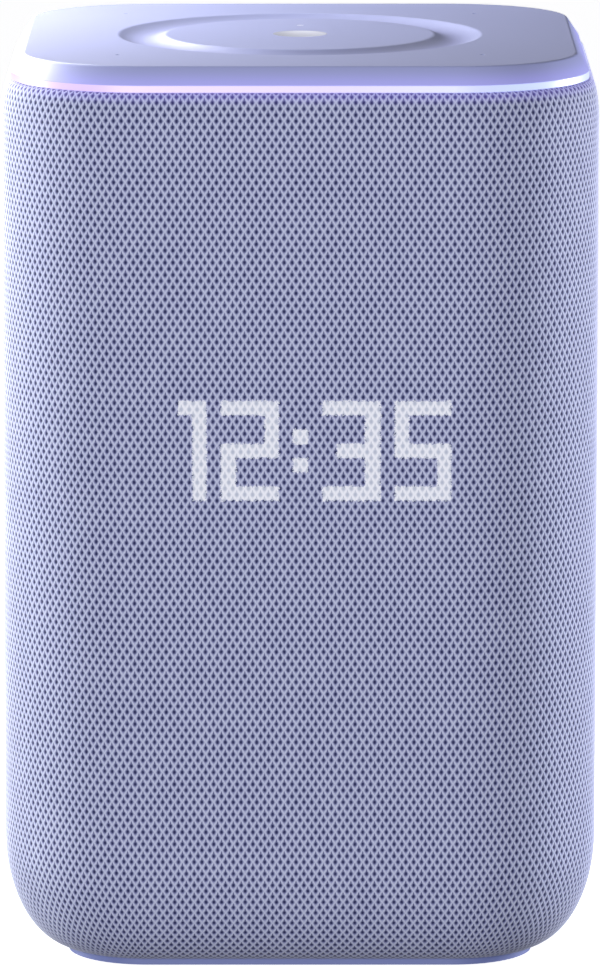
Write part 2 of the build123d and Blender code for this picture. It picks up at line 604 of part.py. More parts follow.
def lamp_places():
    """Places and turns of the light ring's lamps, on the middle line of the leg."""
    inset = RING_INNER_INSET - RING_LEG_WIDTH / 2
    x = WIDTH / 2 - inset
    y = DEPTH / 2 - inset
    first = -LAMP_PITCH * (LAMPS_PER_SIDE - 1) / 2
    places = []
    for number in range(LAMPS_PER_SIDE):
        along = first + LAMP_PITCH * number
        places += [(x, along, 0), (-x, along, 0), (along, y, 0), (along, -y, 0)]
    reach = (CORNER_RADIUS - inset) * cos(radians(45))
    corner_x = WIDTH / 2 - CORNER_RADIUS + reach
    corner_y = DEPTH / 2 - CORNER_RADIUS + reach
    places += [(sx * corner_x, sy * corner_y, 45) for sx in (1, -1) for sy in (1, -1)]
    return places


def top_parts():
    """Light ring board, its lamps, the touch board with its microphones, and the screws."""
    lamp_board = ring_column(LAMP_BOARD_OUTER_INSET, LAMP_BOARD_OUTER_INSET + LAMP_BOARD_WIDTH,
                             CHASSIS_TOP, CHASSIS_TOP + PCB_THICKNESS)
    lamp_low = CHASSIS_TOP + PCB_THICKNESS
    lamp = block(LAMP_SIZE[0], LAMP_SIZE[1], lamp_low, lamp_low + LAMP_SIZE[2])
    lamps = [Pos(x, y, 0) * Rot(0, 0, turn) * lamp for x, y, turn in lamp_places()]

    board = block(TOUCH_BOARD_SIDE, TOUCH_BOARD_SIDE, TOUCH_BOARD_BOTTOM, TOUCH_BOARD_TOP,
                  TOUCH_BOARD_CORNER)
    board -= at_corners(rod(MIC_HOLE_RADIUS, TOUCH_BOARD_BOTTOM, TOUCH_BOARD_TOP), MIC_OFFSET, MIC_OFFSET)
    mic = block(MIC_SIZE[0], MIC_SIZE[1], TOUCH_BOARD_BOTTOM - MIC_SIZE[2], TOUCH_BOARD_BOTTOM)
    gasket = tube(MIC_GASKET_RADIUS, MIC_HOLE_RADIUS + MIC_GASKET_GAP, TOUCH_BOARD_TOP, CAP_UNDERSIDE)
    foam = tube(GROOVE_OUTER_RADIUS, GROOVE_INNER_RADIUS, TOUCH_BOARD_TOP, CAP_UNDERSIDE)

    chassis_screw = Pos(0, 0, CHASSIS_TOP) * screw(SCREW_M3, CHASSIS_THICKNESS + CHASSIS_SCREW_BITE)
    cap_screw = Pos(0, 0, CHASSIS_BOTTOM) * Rot(180, 0, 0) * screw(SCREW_M25, CHASSIS_THICKNESS + 6)
    return {
        "top_chassis": top_chassis(),
        "light_ring_board": lamp_board,
        "light_ring_leds": group(lamps),
        "touch_board": board,
        "touch_foam": foam,
        "microphones": group(at_corners(mic, MIC_OFFSET, MIC_OFFSET)),
        "microphone_gaskets": group(at_corners(gasket, MIC_OFFSET, MIC_OFFSET)),
        "chassis_screws": group(at_corners(chassis_screw, *tall_posts())),
        "cap_screws": group(on_axes(cap_screw, WIDTH / 2 - CAP_BOSS_INSET, DEPTH / 2 - CAP_BOSS_INSET)),
    }


def board_posts():
    """X and Y of the main board's posts."""
    return (MAIN_BOARD_SIDE / 2 - BOARD_POST_INSET,) * 2


def main_board_parts():
    """Main board above the enclosure, with its heat sink, radio shield and aerial."""
    board = block(MAIN_BOARD_SIDE, MAIN_BOARD_SIDE, MAIN_BOARD_BOTTOM, MAIN_BOARD_TOP,
                  MAIN_BOARD_CORNER)
    board -= at_corners(screw_hole(SCREW_M25, MAIN_BOARD_BOTTOM, MAIN_BOARD_TOP), *board_posts())
    sink_x, sink_y, sink_base = HEAT_SINK_SIZE
    sink = block(sink_x, sink_y, MAIN_BOARD_TOP, MAIN_BOARD_TOP + sink_base)
    pitch = (sink_x - HEAT_SINK_FIN) / (HEAT_SINK_FINS - 1)
    fin_low = MAIN_BOARD_TOP + sink_base
    fin = block(HEAT_SINK_FIN, sink_y, fin_low, fin_low + HEAT_SINK_FIN_HEIGHT)
    for number in range(HEAT_SINK_FINS):
        sink += Pos(-(sink_x - HEAT_SINK_FIN) / 2 + pitch * number, 0, 0) * fin
    shield = block(SHIELD_SIZE[0], SHIELD_SIZE[1], MAIN_BOARD_TOP, MAIN_BOARD_TOP + SHIELD_SIZE[2], 1.0)
    shield -= block(SHIELD_SIZE[0] - 2 * SHIELD_SHEET, SHIELD_SIZE[1] - 2 * SHIELD_SHEET, MAIN_BOARD_TOP,
                    MAIN_BOARD_TOP + SHIELD_SIZE[2] - SHIELD_SHEET)
    aerial = block(ANTENNA_SIZE[0], ANTENNA_SIZE[1], ENCLOSURE_TOP, ENCLOSURE_TOP + ANTENNA_SIZE[2])
    board_screw = screw(SCREW_M25, PCB_THICKNESS + MAIN_BOARD_LIFT - BOARD_SCREW_SHORT)
    board_screw = Pos(0, 0, MAIN_BOARD_TOP) * board_screw
    back = (MAIN_BOARD_SIDE - sink_y) / 4
    return {
        "main_board": board,
        "heat_sink": Pos(0, back, 0) * sink,
        "radio_shield": Pos(0, back - sink_y / 2 - SHIELD_SIZE[1] / 2 - 3, 0) * shield,
        "antenna": Pos(ENCLOSURE_X - ANTENNA_OFFSET, 0, 0) * aerial,
        "board_screws": group(at_corners(board_screw, *board_posts())),
    }


def power_board_parts():
    """Power and amplifier board in the base."""
    top = POWER_BOARD_BOTTOM + PCB_THICKNESS
    board = block(POWER_BOARD_SIDE, POWER_BOARD_SIDE, POWER_BOARD_BOTTOM, top, 2.0)
    board -= at_corners(screw_hole(SCREW_M2, POWER_BOARD_BOTTOM, top), *power_posts())
    coil = block(*INDUCTOR_SIZE[:2], top, top + INDUCTOR_SIZE[2], 1.5)
    can = rod(CAPACITOR_RADIUS, top, top + CAPACITOR_HEIGHT)
    step = POWER_BOARD_SIDE / 5
    fixing = Pos(0, 0, top) * screw(SCREW_M2, PCB_THICKNESS + POWER_BOARD_LIFT - BOARD_SCREW_SHORT)
    return {
        "power_board": board,
        "power_inductors": group([Pos(-step, 0, 0) * coil, Pos(step, 0, 0) * coil]),
        "power_capacitors": group([Pos(x, -step, 0) * can for x in (-step, 0, step)]),
        "power_board_screws": group(at_corners(fixing, *power_posts())),
    }


# ---- Enclosure ----------------------------------------------------------------------------
def enclosure_block(low_y, high_y):
    """The part of the enclosure's outer block between two planes across Y."""
    body = block(2 * ENCLOSURE_X, 2 * ENCLOSURE_Y, ENCLOSURE_BOTTOM, ENCLOSURE_TOP, ENCLOSURE_CORNER)
    slab = Pos(0, (low_y + high_y) / 2, HEIGHT / 2) * Box(2 * WIDTH, high_y - low_y, 2 * HEIGHT)
    return body & slab


def enclosure_room():
    """The air space inside the enclosure, open at the front."""
    room = block(2 * (ENCLOSURE_X - WALL), 2 * (ENCLOSURE_Y - WALL), ENCLOSURE_BOTTOM + WALL,
                 ENCLOSURE_TOP - WALL, ENCLOSURE_CORNER - WALL)
    front = Pos(0, -ENCLOSURE_Y, (ENCLOSURE_BOTTOM + ENCLOSURE_TOP) / 2)
    return room + front * Box(2 * (ENCLOSURE_X - WALL), 4 * WALL,
                              ENCLOSURE_TOP - ENCLOSURE_BOTTOM - 2 * WALL)


def baffle_screw_places():
    """X and Z of the screws round the baffle."""
    x = ENCLOSURE_X - BAFFLE_SCREW_INSET
    low = ENCLOSURE_BOTTOM + BAFFLE_SCREW_INSET
    high = ENCLOSURE_TOP - BAFFLE_SCREW_INSET
    return [(sx * x, z) for sx in (1, -1) for z in (low, (low + high) / 2, high)]


def woofer_screw_places():
    """Angles of the woofer's screws."""
    return [360.0 / WOOFER_SCREWS * (number + 0.5) for number in range(WOOFER_SCREWS)]


def on_front(shape, x, z):
    """Places a shape whose +Z points forward at (x, z) on the baffle's front face."""
    return Plane((x, -ENCLOSURE_Y, z), x_dir=(1, 0, 0), z_dir=(0, -1, 0)) * shape


def on_side(shape, side):
    """Places a shape whose +Z points outward at the radiator's place on one side wall."""
    return Plane((side * ENCLOSURE_X, 0, RADIATOR_Z), x_dir=(0, side, 0), z_dir=(side, 0, 0)) * shape


def front_baffle():
    """The plate that carries the woofer and the tweeters."""
    baffle = enclosure_block(-ENCLOSURE_Y, BAFFLE_BACK)
    deep = BAFFLE_THICKNESS + 1
    cutters = [on_front(rod(WOOFER_OPEN_RADIUS + BASKET_WALL + DRIVER_FIT, -deep, 1), 0, WOOFER_Z)]
    for side in (1, -1):
        cutters.append(on_front(rod(TWEETER_BODY_RADIUS + DRIVER_FIT, -deep, 1),
                                side * TWEETER_OFFSET, TWEETER_Z))
    for x, z in baffle_screw_places():
        cutters.append(on_front(screw_hole(SCREW_M25, -deep, 1), x, z))
        cutters.append(on_front(rod(SCREW_M25[1] + HEAD_GAP, -SCREW_M25[2] - HEAD_SINK, 1), x, z))
    for angle in woofer_screw_places():
        hole = Rot(0, 0, angle) * Pos(WOOFER_SCREW_RADIUS, 0, 0) * screw_hole(SCREW_M2, -deep, 1)
        cutters.append(on_front(hole, 0, WOOFER_Z))
    return baffle - cutters


def baffle_gasket():
    """The foam seal between the baffle and the tub."""
    return enclosure_block(BAFFLE_BACK, TUB_FRONT) - enclosure_room()


def enclosure_tub():
    """The sealed tub behind the baffle, with its posts and screw bosses."""
    tub = enclosure_block(TUB_FRONT, ENCLOSURE_Y) - enclosure_room()
    boss = Pos(0, TUB_FRONT, 0) * Rot(-90, 0, 0) * rod(BAFFLE_BOSS_RADIUS, 0, BAFFLE_BOSS_LENGTH)
    for x, z in baffle_screw_places():
        tub += Pos(x, 0, z) * boss
    for piece in at_corners(rod(POST_RADIUS, ENCLOSURE_TOP, CHASSIS_BOTTOM), *tall_posts()):
        tub += piece
    for piece in at_corners(rod(SHELL_BOSS_RADIUS, ENCLOSURE_TOP, MAIN_BOARD_BOTTOM), *board_posts()):
        tub += piece
    short_post = rod(POST_RADIUS, ENCLOSURE_BOTTOM, ENCLOSURE_BOTTOM + SHORT_POST_HEIGHT)
    for piece in at_corners(short_post, *base_posts()):
        tub += piece
    cutters = [Pos(x, TUB_FRONT, z) * Rot(-90, 0, 0) * screw_hole(SCREW_M25, 0, BAFFLE_BOSS_LENGTH - 2)
               for x, z in baffle_screw_places()]
    tall_hole = screw_hole(SCREW_M3, CHASSIS_BOTTOM - SHORT_POST_HEIGHT, CHASSIS_BOTTOM)
    cutters += at_corners(tall_hole, *tall_posts())
    cutters += at_corners(screw_hole(SCREW_M25, ENCLOSURE_TOP, MAIN_BOARD_BOTTOM), *board_posts())
    short_hole = screw_hole(SCREW_M3, ENCLOSURE_BOTTOM, ENCLOSURE_BOTTOM + BASE_SCREW_HOLE)
    cutters += at_corners(short_hole, *base_posts())
    for side in (1, -1):
        cutters.append(on_side(rod(RADIATOR_OPEN_RADIUS, -WALL - 1, 1), side))
    return tub - cutters


def enclosure_parts():
    """The sealed box and what closes it."""
    head_low = -SCREW_M25[2] - HEAD_SINK
    fixing = Pos(0, 0, head_low) * screw(SCREW_M25, BAFFLE_THICKNESS + GASKET_THICKNESS + DRIVER_SCREW_BITE)
    return {
        "front_baffle": front_baffle(),
        "baffle_gasket": baffle_gasket(),
        "enclosure_tub": enclosure_tub(),
        "baffle_screws": group([on_front(fixing, x, z) for x, z in baffle_screw_places()]),
    }


# ---- Woofer: its own +Z points forward, and z = 0 is the baffle's face ---------------------
def woofer_basket():
    """The pressed frame that carries the suspension and the magnet."""
    seat = WOOFER_GASKET
    lip_top = seat + WOOFER_FLANGE_THICKNESS
    hole = WOOFER_OPEN_RADIUS
    bottom = -BASKET_DEPTH
    basket = turned([(WOOFER_FLANGE_RADIUS, seat), (WOOFER_FLANGE_RADIUS, lip_top), (hole, lip_top),
                     (hole, 0), (BASKET_SEAT_RADIUS, bottom + BASKET_WALL),
                     (MAGNET_BORE, bottom + BASKET_WALL), (MAGNET_BORE, bottom),
                     (BASKET_SEAT_RADIUS + BASKET_WALL, bottom), (hole + BASKET_WALL, 0),
                     (hole + BASKET_WALL, seat)])
    window = Pos(BASKET_SEAT_RADIUS + 5, 0, bottom / 2 - 1) * Box(16, BASKET_WINDOW_WIDTH, BASKET_DEPTH - 9)
    turn = 360 / BASKET_WINDOWS
    cutters = [Rot(0, 0, turn * number) * window for number in range(BASKET_WINDOWS)]
    for angle in woofer_screw_places():
        place = Rot(0, 0, angle) * Pos(WOOFER_SCREW_RADIUS, 0, 0)
        cutters.append(place * screw_hole(SCREW_M2, -1, lip_top + 1))
    return basket - cutters


def woofer_parts():
    """Motor, frame, suspension and the moving cone of the woofer."""
    bottom = -BASKET_DEPTH
    plate_low = bottom - TOP_PLATE_THICKNESS
    magnet_low = plate_low - MAGNET_THICKNESS
    coil_inner = POLE_RADIUS + COIL_GAP
    coil_outer = coil_inner + COIL_THICKNESS
    lip_top = WOOFER_GASKET + WOOFER_FLANGE_THICKNESS
    top_plate = tube(TOP_PLATE_RADIUS, coil_outer + COIL_GAP, plate_low, bottom)
    magnet = tube(MAGNET_RADIUS, MAGNET_BORE, magnet_low, plate_low)
    yoke = rod(TOP_PLATE_RADIUS, magnet_low - YOKE_PLATE, magnet_low)
    yoke += rod(POLE_RADIUS, magnet_low, bottom)
    yoke -= rod(POLE_VENT_RADIUS, magnet_low - YOKE_PLATE, bottom)

    neck = bottom + BASKET_WALL + WOOFER_TRAVEL + NECK_CLEARANCE
    rim_top = lip_top
    rim = WOOFER_CONE_RADIUS
    cone = turned([(coil_inner, neck), (coil_outer + NECK_LIP, neck),
                   (rim - LIP_WIDTH, rim_top - CONE_SHEET),
                   (rim, rim_top - CONE_SHEET), (rim, rim_top), (rim - LIP_WIDTH - NECK_LIP, rim_top),
                   (coil_inner, neck + 2 * CONE_SHEET)])
    coil = tube(coil_outer, coil_inner, plate_low - WOOFER_TRAVEL - 1, neck)
    cap_rim = coil_inner + DUST_CAP_REACH
    cone_rise = (rim_top - neck - 2 * CONE_SHEET) / (rim - LIP_WIDTH - coil_inner)
    cap_low = neck + 2 * CONE_SHEET + DUST_CAP_REACH * cone_rise
    dome_rise = DUST_CAP_RISE
    ball = (cap_rim ** 2 + dome_rise ** 2) / (2 * dome_rise)
    dome = Sphere(ball) - Sphere(ball - DOME_SHEET)
    dome &= Pos(0, 0, ball) * Box(4 * ball, 4 * ball, 2 * dome_rise)
    dust_cap = Pos(0, 0, cap_low + dome_rise - ball + DUST_CAP_LIFT) * dome

    surround = Pos(0, 0, lip_top + FIT_GAP) * roll(rim, WOOFER_OPEN_RADIUS, LIP_WIDTH, SURROUND_SHEET)
    spider_low = bottom + BASKET_WALL + SPIDER_LIFT
    spider = tube(BASKET_SEAT_RADIUS, coil_outer + SPIDER_GAP, spider_low, spider_low + SPIDER_SHEET)
    gasket = tube(WOOFER_FLANGE_RADIUS, WOOFER_OPEN_RADIUS + BASKET_WALL + DRIVER_FIT, 0, WOOFER_GASKET)
    fixing = Pos(0, 0, lip_top) * screw(SCREW_M2, lip_top + BAFFLE_THICKNESS)
    screws = [Rot(0, 0, angle) * Pos(WOOFER_SCREW_RADIUS, 0, 0) * fixing for angle in woofer_screw_places()]
    for angle in woofer_screw_places():
        gasket -= Rot(0, 0, angle) * Pos(WOOFER_SCREW_RADIUS, 0, 0) * screw_hole(SCREW_M2, 0, WOOFER_GASKET)
    parts = {
        "woofer_gasket": gasket,
        "woofer_basket": woofer_basket(),
        "woofer_top_plate": top_plate,
        "woofer_magnet": magnet,
        "woofer_yoke": yoke,
        "woofer_spider": spider,
        "woofer_surround": surround,
        "woofer_cone": cone,
        "woofer_dust_cap": dust_cap,
        "woofer_voice_coil": coil,
        "woofer_screws": group(screws),
    }
    return {node: on_front(shape, 0, WOOFER_Z) for node, shape in parts.items()}


# ---- Passive radiators --------------------------------------------------------------------
def radiator_parts():
    """A frame, a surround and a weighted plate on each side wall."""
    top = RADIATOR_FRAME_THICKNESS
    frame = tube(RADIATOR_FRAME_RADIUS, RADIATOR_OPEN_RADIUS, 0, top)
    plate = rod(RADIATOR_PLATE_RADIUS, top - RADIATOR_PLATE_THICKNESS, top)
    weight_top = top - RADIATOR_PLATE_THICKNESS
    plate += rod(RADIATOR_WEIGHT_RADIUS, weight_top - RADIATOR_WEIGHT_THICKNESS, weight_top)
    surround = Pos(0, 0, top + FIT_GAP) * roll(RADIATOR_PLATE_RADIUS, RADIATOR_OPEN_RADIUS,
                                              2 * LIP_WIDTH, SURROUND_SHEET)
    parts = {"radiator_frames": group([on_side(frame, 1), on_side(frame, -1)])}
    for name, side in (("left", -1), ("right", 1)):
        parts["radiator_surround_" + name] = on_side(surround, side)
        parts["radiator_plate_" + name] = on_side(plate, side)
    return parts


# ---- Tweeters -----------------------------------------------------------------------------
def tweeter_parts():
    """Two small dome tweeters above the clock."""
    top = TWEETER_FLANGE_THICKNESS
    inner = TWEETER_DOME_RADIUS + TWEETER_RIM
    frame = tube(TWEETER_FLANGE_RADIUS, inner, 0, top)
    motor_top = -TWEETER_MOTOR_GAP
    motor = rod(TWEETER_BODY_RADIUS, motor_top - TWEETER_BODY_DEPTH, motor_top)
    motor -= tube(TWEETER_DOME_RADIUS + TWEETER_COIL_GAP[0], TWEETER_DOME_RADIUS - TWEETER_COIL_GAP[1],
                  motor_top - TWEETER_COIL_DEPTH, motor_top)
    ball = (TWEETER_DOME_RADIUS ** 2 + DOME_RISE ** 2) / (2 * DOME_RISE)
    dome = Sphere(ball) - Sphere(ball - DOME_SHEET)
    dome &= Pos(0, 0, ball) * Box(4 * ball, 4 * ball, 2 * DOME_RISE)
    dome = Pos(0, 0, DOME_RISE - ball + DOME_LIFT) * dome
    dome += tube(TWEETER_DOME_RADIUS, TWEETER_DOME_RADIUS - DOME_SKIRT[0], *DOME_SKIRT[1:])
    parts = {
        "tweeter_frames": group([on_front(frame, side * TWEETER_OFFSET, TWEETER_Z) for side in (1, -1)]),
        "tweeter_motors": group([on_front(motor, side * TWEETER_OFFSET, TWEETER_Z) for side in (1, -1)]),
    }
    for name, side in (("left", -1), ("right", 1)):
        parts["tweeter_dome_" + name] = on_front(dome, side * TWEETER_OFFSET, TWEETER_Z)
    return parts


# ---- Clock display ------------------------------------------------------------------------
def cell_place(column_number, row_number):
    """X and Z of a cell's middle, from the display's middle; row 0 is the top row."""
    x = (column_number - (CELL_COLUMNS - 1) / 2) * CELL_PITCH
    z = ((CELL_ROWS - 1) / 2 - row_number) * CELL_PITCH
    return x, z


def lamp_cells():
    """Columns and rows that have a lamp: four digits and the two dots between them."""
    columns = [start + offset for start in DIGIT_STARTS for offset in range(DIGIT_COLUMNS)]
    cells = [(column_number, row) for column_number in columns for row in range(CELL_ROWS)]
    return cells + [(COLON_COLUMN, row) for row in COLON_ROWS]


def display_screw_x():
    """How far the display's screws are from the middle."""
    return WINDOW_WIDTH / 2 + DISPLAY_SCREW_OVERHANG


def display_screw_places(piece, y):
    """A piece that points along +Z, turned to +Y and set at the display's four screws."""
    x = display_screw_x()
    z = WINDOW_HEIGHT / 2 - MASK_MARGIN
    return [Pos(sx * x, y, DISPLAY_Z + sz * z) * Rot(-90, 0, 0) * piece for sx in (1, -1) for sz in (1, -1)]


def corner_sag(width, inset):
    """How far the front wall's surface has curved back at the two ends of a flat piece."""
    overhang = max(0.0, width / 2 - (WIDTH / 2 - CORNER_RADIUS))
    radius = CORNER_RADIUS - inset
    return radius - sqrt(radius ** 2 - overhang ** 2)


def display_levels():
    """Y of the display's front face, of its flange's front and of its flange's back."""
    face = -DEPTH / 2 + SHELL_OUTER_INSET + corner_sag(WINDOW_WIDTH, SLEEVE_THICKNESS)
    flange_front = SHELL_FRONT_INNER + corner_sag(FLANGE_WIDTH, SHELL_INNER_INSET) + FIT_GAP
    return face, flange_front, flange_front + MASK_FLANGE_THICKNESS


def across_y(width, height, low, high):
    """A flat box at the display's middle between two planes across Y."""
    return Pos(0, (low + high) / 2, DISPLAY_Z) * Box(width, high - low, height)


def display_parts():
    """The dot clock behind the sleeve: film, light mask, lamps and board."""
    face, flange_front, flange_back = display_levels()
    mask_front = face + DIFFUSER_THICKNESS
    width = WINDOW_WIDTH - 2 * FIT_GAP
    height = WINDOW_HEIGHT - 2 * FIT_GAP
    flange = (FLANGE_WIDTH, WINDOW_HEIGHT + 2 * MASK_FLANGE)
    mask = front_slot(width, height, WINDOW_CORNER, DISPLAY_Z, mask_front, flange_front)
    mask += across_y(*flange, flange_front, flange_back)
    cell = CELL_PITCH - CELL_WALL
    cells = []
    for column_number in range(CELL_COLUMNS):
        for row in range(CELL_ROWS):
            x, z = cell_place(column_number, row)
            cells.append(Pos(x, 0, z) * across_y(cell, cell, face - 1, flange_back + 1))
    hole = rod(SCREW_M2[0] + FIT_GAP, -1, MASK_FLANGE_THICKNESS + 1)
    mask -= cells + display_screw_places(hole, flange_front)
    diffuser = front_slot(width, height, WINDOW_CORNER, DISPLAY_Z, face, mask_front)
    board = across_y(*flange, flange_back, flange_back + PCB_THICKNESS)
    board -= display_screw_places(rod(SCREW_M2[0] + FIT_GAP, -1, PCB_THICKNESS + 1), flange_back)
    leds = []
    for column_number, row in lamp_cells():
        x, z = cell_place(column_number, row)
        lamp = across_y(LED_SIZE[0], LED_SIZE[1], flange_back - LED_SIZE[2], flange_back)
        leds.append(Pos(x, 0, z) * lamp)
    board_back = flange_back + PCB_THICKNESS
    sag = corner_sag(2 * (display_screw_x() + SCREW_M2[0]), SHELL_OUTER_INSET)
    tip = -DEPTH / 2 + SHELL_OUTER_INSET + sag + DISPLAY_SCREW_TIP_GAP
    fixing = screw(SCREW_M2, board_back - tip)
    return {
        "display_mask": mask,
        "display_diffuser": diffuser,
        "display_board": board,
        "display_leds": group(leds),
        "display_screws": group(display_screw_places(fixing, board_back)),
    }


# ---- Rear port ----------------------------------------------------------------------------
def rear_rod(radius, low, high, x):
    """A round rod along Y in the rear port, from y = low to y = high."""
    return Pos(x, low, PORT_HEIGHT_ABOVE) * Rot(-90, 0, 0) * rod(radius, 0, high - low)


def rear_box(width, height, low, high, x=0.0):
    """A box in the rear port, from y = low to y = high."""
    return Pos(x, (low + high) / 2, PORT_HEIGHT_ABOVE) * Box(width, high - low, height)


def port_parts():
    """The rear panel with the power socket and the push button, and the small board behind."""
    face = DEPTH / 2
    width, height = PORT_SIZE
    lip_front = SHELL_REAR_INNER - FIT_GAP
    panel = front_slot(width, height, height / 2 - 0.01, PORT_HEIGHT_ABOVE, PORT_LIP_BACK, face)
    lip_height = height + 2 * PORT_LIP
    panel += front_slot(width + 2 * PORT_LIP, lip_height, lip_height / 2 - 0.01,
                        PORT_HEIGHT_ABOVE, PORT_LIP_BACK, lip_front)
    socket_x = -PORT_SPACING
    button_x = PORT_SPACING
    panel -= rear_rod(SOCKET_NOSE_RADIUS + FIT_GAP, PORT_LIP_BACK - 1, face + 1, socket_x)
    panel -= rear_rod(BUTTON_RADIUS + BUTTON_RUN_GAP, PORT_LIP_BACK - 1, face + 1, button_x)
    post_low = PORT_BOARD_FRONT
    for side in (1, -1):
        panel += rear_rod(PORT_POST_RADIUS, post_low, PORT_LIP_BACK, side * PORT_POST_OFFSET)
    for side in (1, -1):
        panel -= rear_rod(SCREW_M2[0] + FIT_GAP, post_low, PORT_LIP_BACK, side * PORT_POST_OFFSET)

    board = rear_box(*PORT_BOARD_SIZE, PORT_BOARD_Y, PORT_BOARD_FRONT)
    for side in (1, -1):
        board -= rear_rod(SCREW_M2[0] + FIT_GAP, PORT_BOARD_Y - 1, PORT_BOARD_FRONT + 1,
                          side * PORT_POST_OFFSET)
    nose_face = face - SOCKET_RECESS
    jack = rear_box(*SOCKET_BODY, PORT_BOARD_FRONT, PORT_LIP_BACK, socket_x)
    jack += rear_rod(SOCKET_NOSE_RADIUS, PORT_LIP_BACK, nose_face, socket_x)
    jack -= rear_rod(SOCKET_BORE_RADIUS, nose_face - SOCKET_DEPTH, nose_face, socket_x)
    jack += rear_rod(SOCKET_PIN_RADIUS, nose_face - SOCKET_DEPTH, nose_face - 1, socket_x)

    switch_front = PORT_BOARD_FRONT + SWITCH_HEIGHT
    switch = rear_box(SWITCH_SIDE, SWITCH_SIDE, PORT_BOARD_FRONT, switch_front, button_x)
    bore_low = switch_front - PLUNGER_GRIP - BUTTON_TRAVEL - PLUNGER_SPARE
    switch -= rear_rod(PLUNGER_RADIUS + BUTTON_RUN_GAP, bore_low, switch_front, button_x)
    button_back = PORT_LIP_BACK - BUTTON_RUN_GAP - BUTTON_FLANGE_THICKNESS
    button = rear_rod(BUTTON_RADIUS, button_back, face - BUTTON_RECESS, button_x)
    button += rear_rod(BUTTON_RADIUS + BUTTON_FLANGE, button_back,
                       button_back + BUTTON_FLANGE_THICKNESS, button_x)
    plunger = rear_rod(PLUNGER_RADIUS, switch_front - PLUNGER_GRIP, button_back, button_x)

    fixing = screw(SCREW_M2, PCB_THICKNESS + PORT_LIP_BACK - PORT_BOARD_FRONT - BOARD_SCREW_SHORT)
    screws = [Pos(side * PORT_POST_OFFSET, PORT_BOARD_Y, PORT_HEIGHT_ABOVE) * Rot(90, 0, 0) * fixing
              for side in (1, -1)]
    return {
        "rear_port_panel": panel,
        "port_board": board,
        "power_jack": jack,
        "tact_switch": switch,
        "mute_button": button,
        "switch_plunger": plunger,
        "port_screws": group(screws),
    }


# ---- Leads --------------------------------------------------------------------------------
def round_lead(points):
    """A round lead along straight runs with tangent bends."""
    path = FilletPolyline(*points, radius=LEAD_BEND)
    start = Plane(path @ 0, z_dir=path % 0)
    return sweep(start * Circle(LEAD_RADIUS), path=path)


def lead_parts():
    """The ribbon to the clock, the power lead and the harness between the boards."""
    ribbon_y = display_levels()[2] + PCB_THICKNESS
    ribbon_low = DISPLAY_Z + WINDOW_HEIGHT / 2 - 4
    board_edge = -MAIN_BOARD_SIDE / 2
    ribbon_top = MAIN_BOARD_TOP + 3.0
    line = FilletPolyline((ribbon_y + RIBBON_THICKNESS, ribbon_low),
                          (ribbon_y + RIBBON_THICKNESS, ribbon_top),
                          (board_edge + 2, ribbon_top),
                          (board_edge + 2, MAIN_BOARD_TOP + 0.1), radius=1.4)
    strip = extrude(Plane.YZ * trace(line, RIBBON_THICKNESS), amount=RIBBON_WIDTH / 2, both=True)

    gap_y = (ENCLOSURE_Y + SHELL_REAR_INNER) / 2
    base_z = POWER_BOARD_BOTTOM + PCB_THICKNESS + LEAD_RADIUS + 0.1
    edge = POWER_BOARD_SIDE / 2 - 5
    port_z = PORT_HEIGHT_ABOVE - PORT_BOARD_SIZE[1] / 2 - 0.1
    lead_y = PORT_BOARD_Y + 0.5
    power = round_lead([(-POWER_LEAD_OFFSET, lead_y, port_z), (-POWER_LEAD_OFFSET, lead_y, base_z),
                        (-POWER_LEAD_OFFSET, edge, base_z)])
    high_z = MAIN_BOARD_TOP + LEAD_RADIUS + 0.1
    x = HARNESS_OFFSET
    harness = round_lead([(x - 16, edge, base_z), (x - 16, gap_y, base_z), (x, gap_y, base_z + 14),
                          (x, gap_y, high_z), (x, MAIN_BOARD_SIDE / 2 - 9, high_z)])
    return {"display_ribbon": strip, "power_lead": power, "signal_harness": harness}


# ---- The whole speaker --------------------------------------------------------------------
# Screws of one size are one node, whatever they hold.
SCREWS_BY_SIZE = {
    "m3_screws": ("base_screws", "chassis_screws"),
    "m25_screws": ("shell_screws", "cap_screws", "board_screws", "baffle_screws"),
    "m2_screws": ("woofer_screws", "display_screws", "port_screws", "power_board_screws"),
}


def speaker():
    """Every node's name and shape."""
    parts = {
        "fabric_sleeve": fabric_sleeve(),
        "grille_shell": grille_shell(),
        "light_ring": light_ring(),
        "top_cap": top_cap(),
        "status_lens": status_lens(),
    }
    for section in (base_parts, top_parts, main_board_parts, power_board_parts, enclosure_parts,
                    woofer_parts, radiator_parts, tweeter_parts, display_parts, port_parts, lead_parts):
        parts.update(section())
    for size, places in SCREWS_BY_SIZE.items():
        parts[size] = group([parts.pop(place) for place in places])
    return parts


os.makedirs("parts", exist_ok=True)
for node, shape in speaker().items():
    export_step(shape, "parts/" + node + ".step")
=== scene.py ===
"""Looks of the table-top smart speaker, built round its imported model.

Metres, +Z up. The clock faces -Y, and the speaker stands on z = 0.
"""
from __future__ import annotations

import json
import logging
import math
from dataclasses import dataclass
from enum import Enum

import bmesh
import bpy
import numpy as np
from mathutils import Matrix, Vector

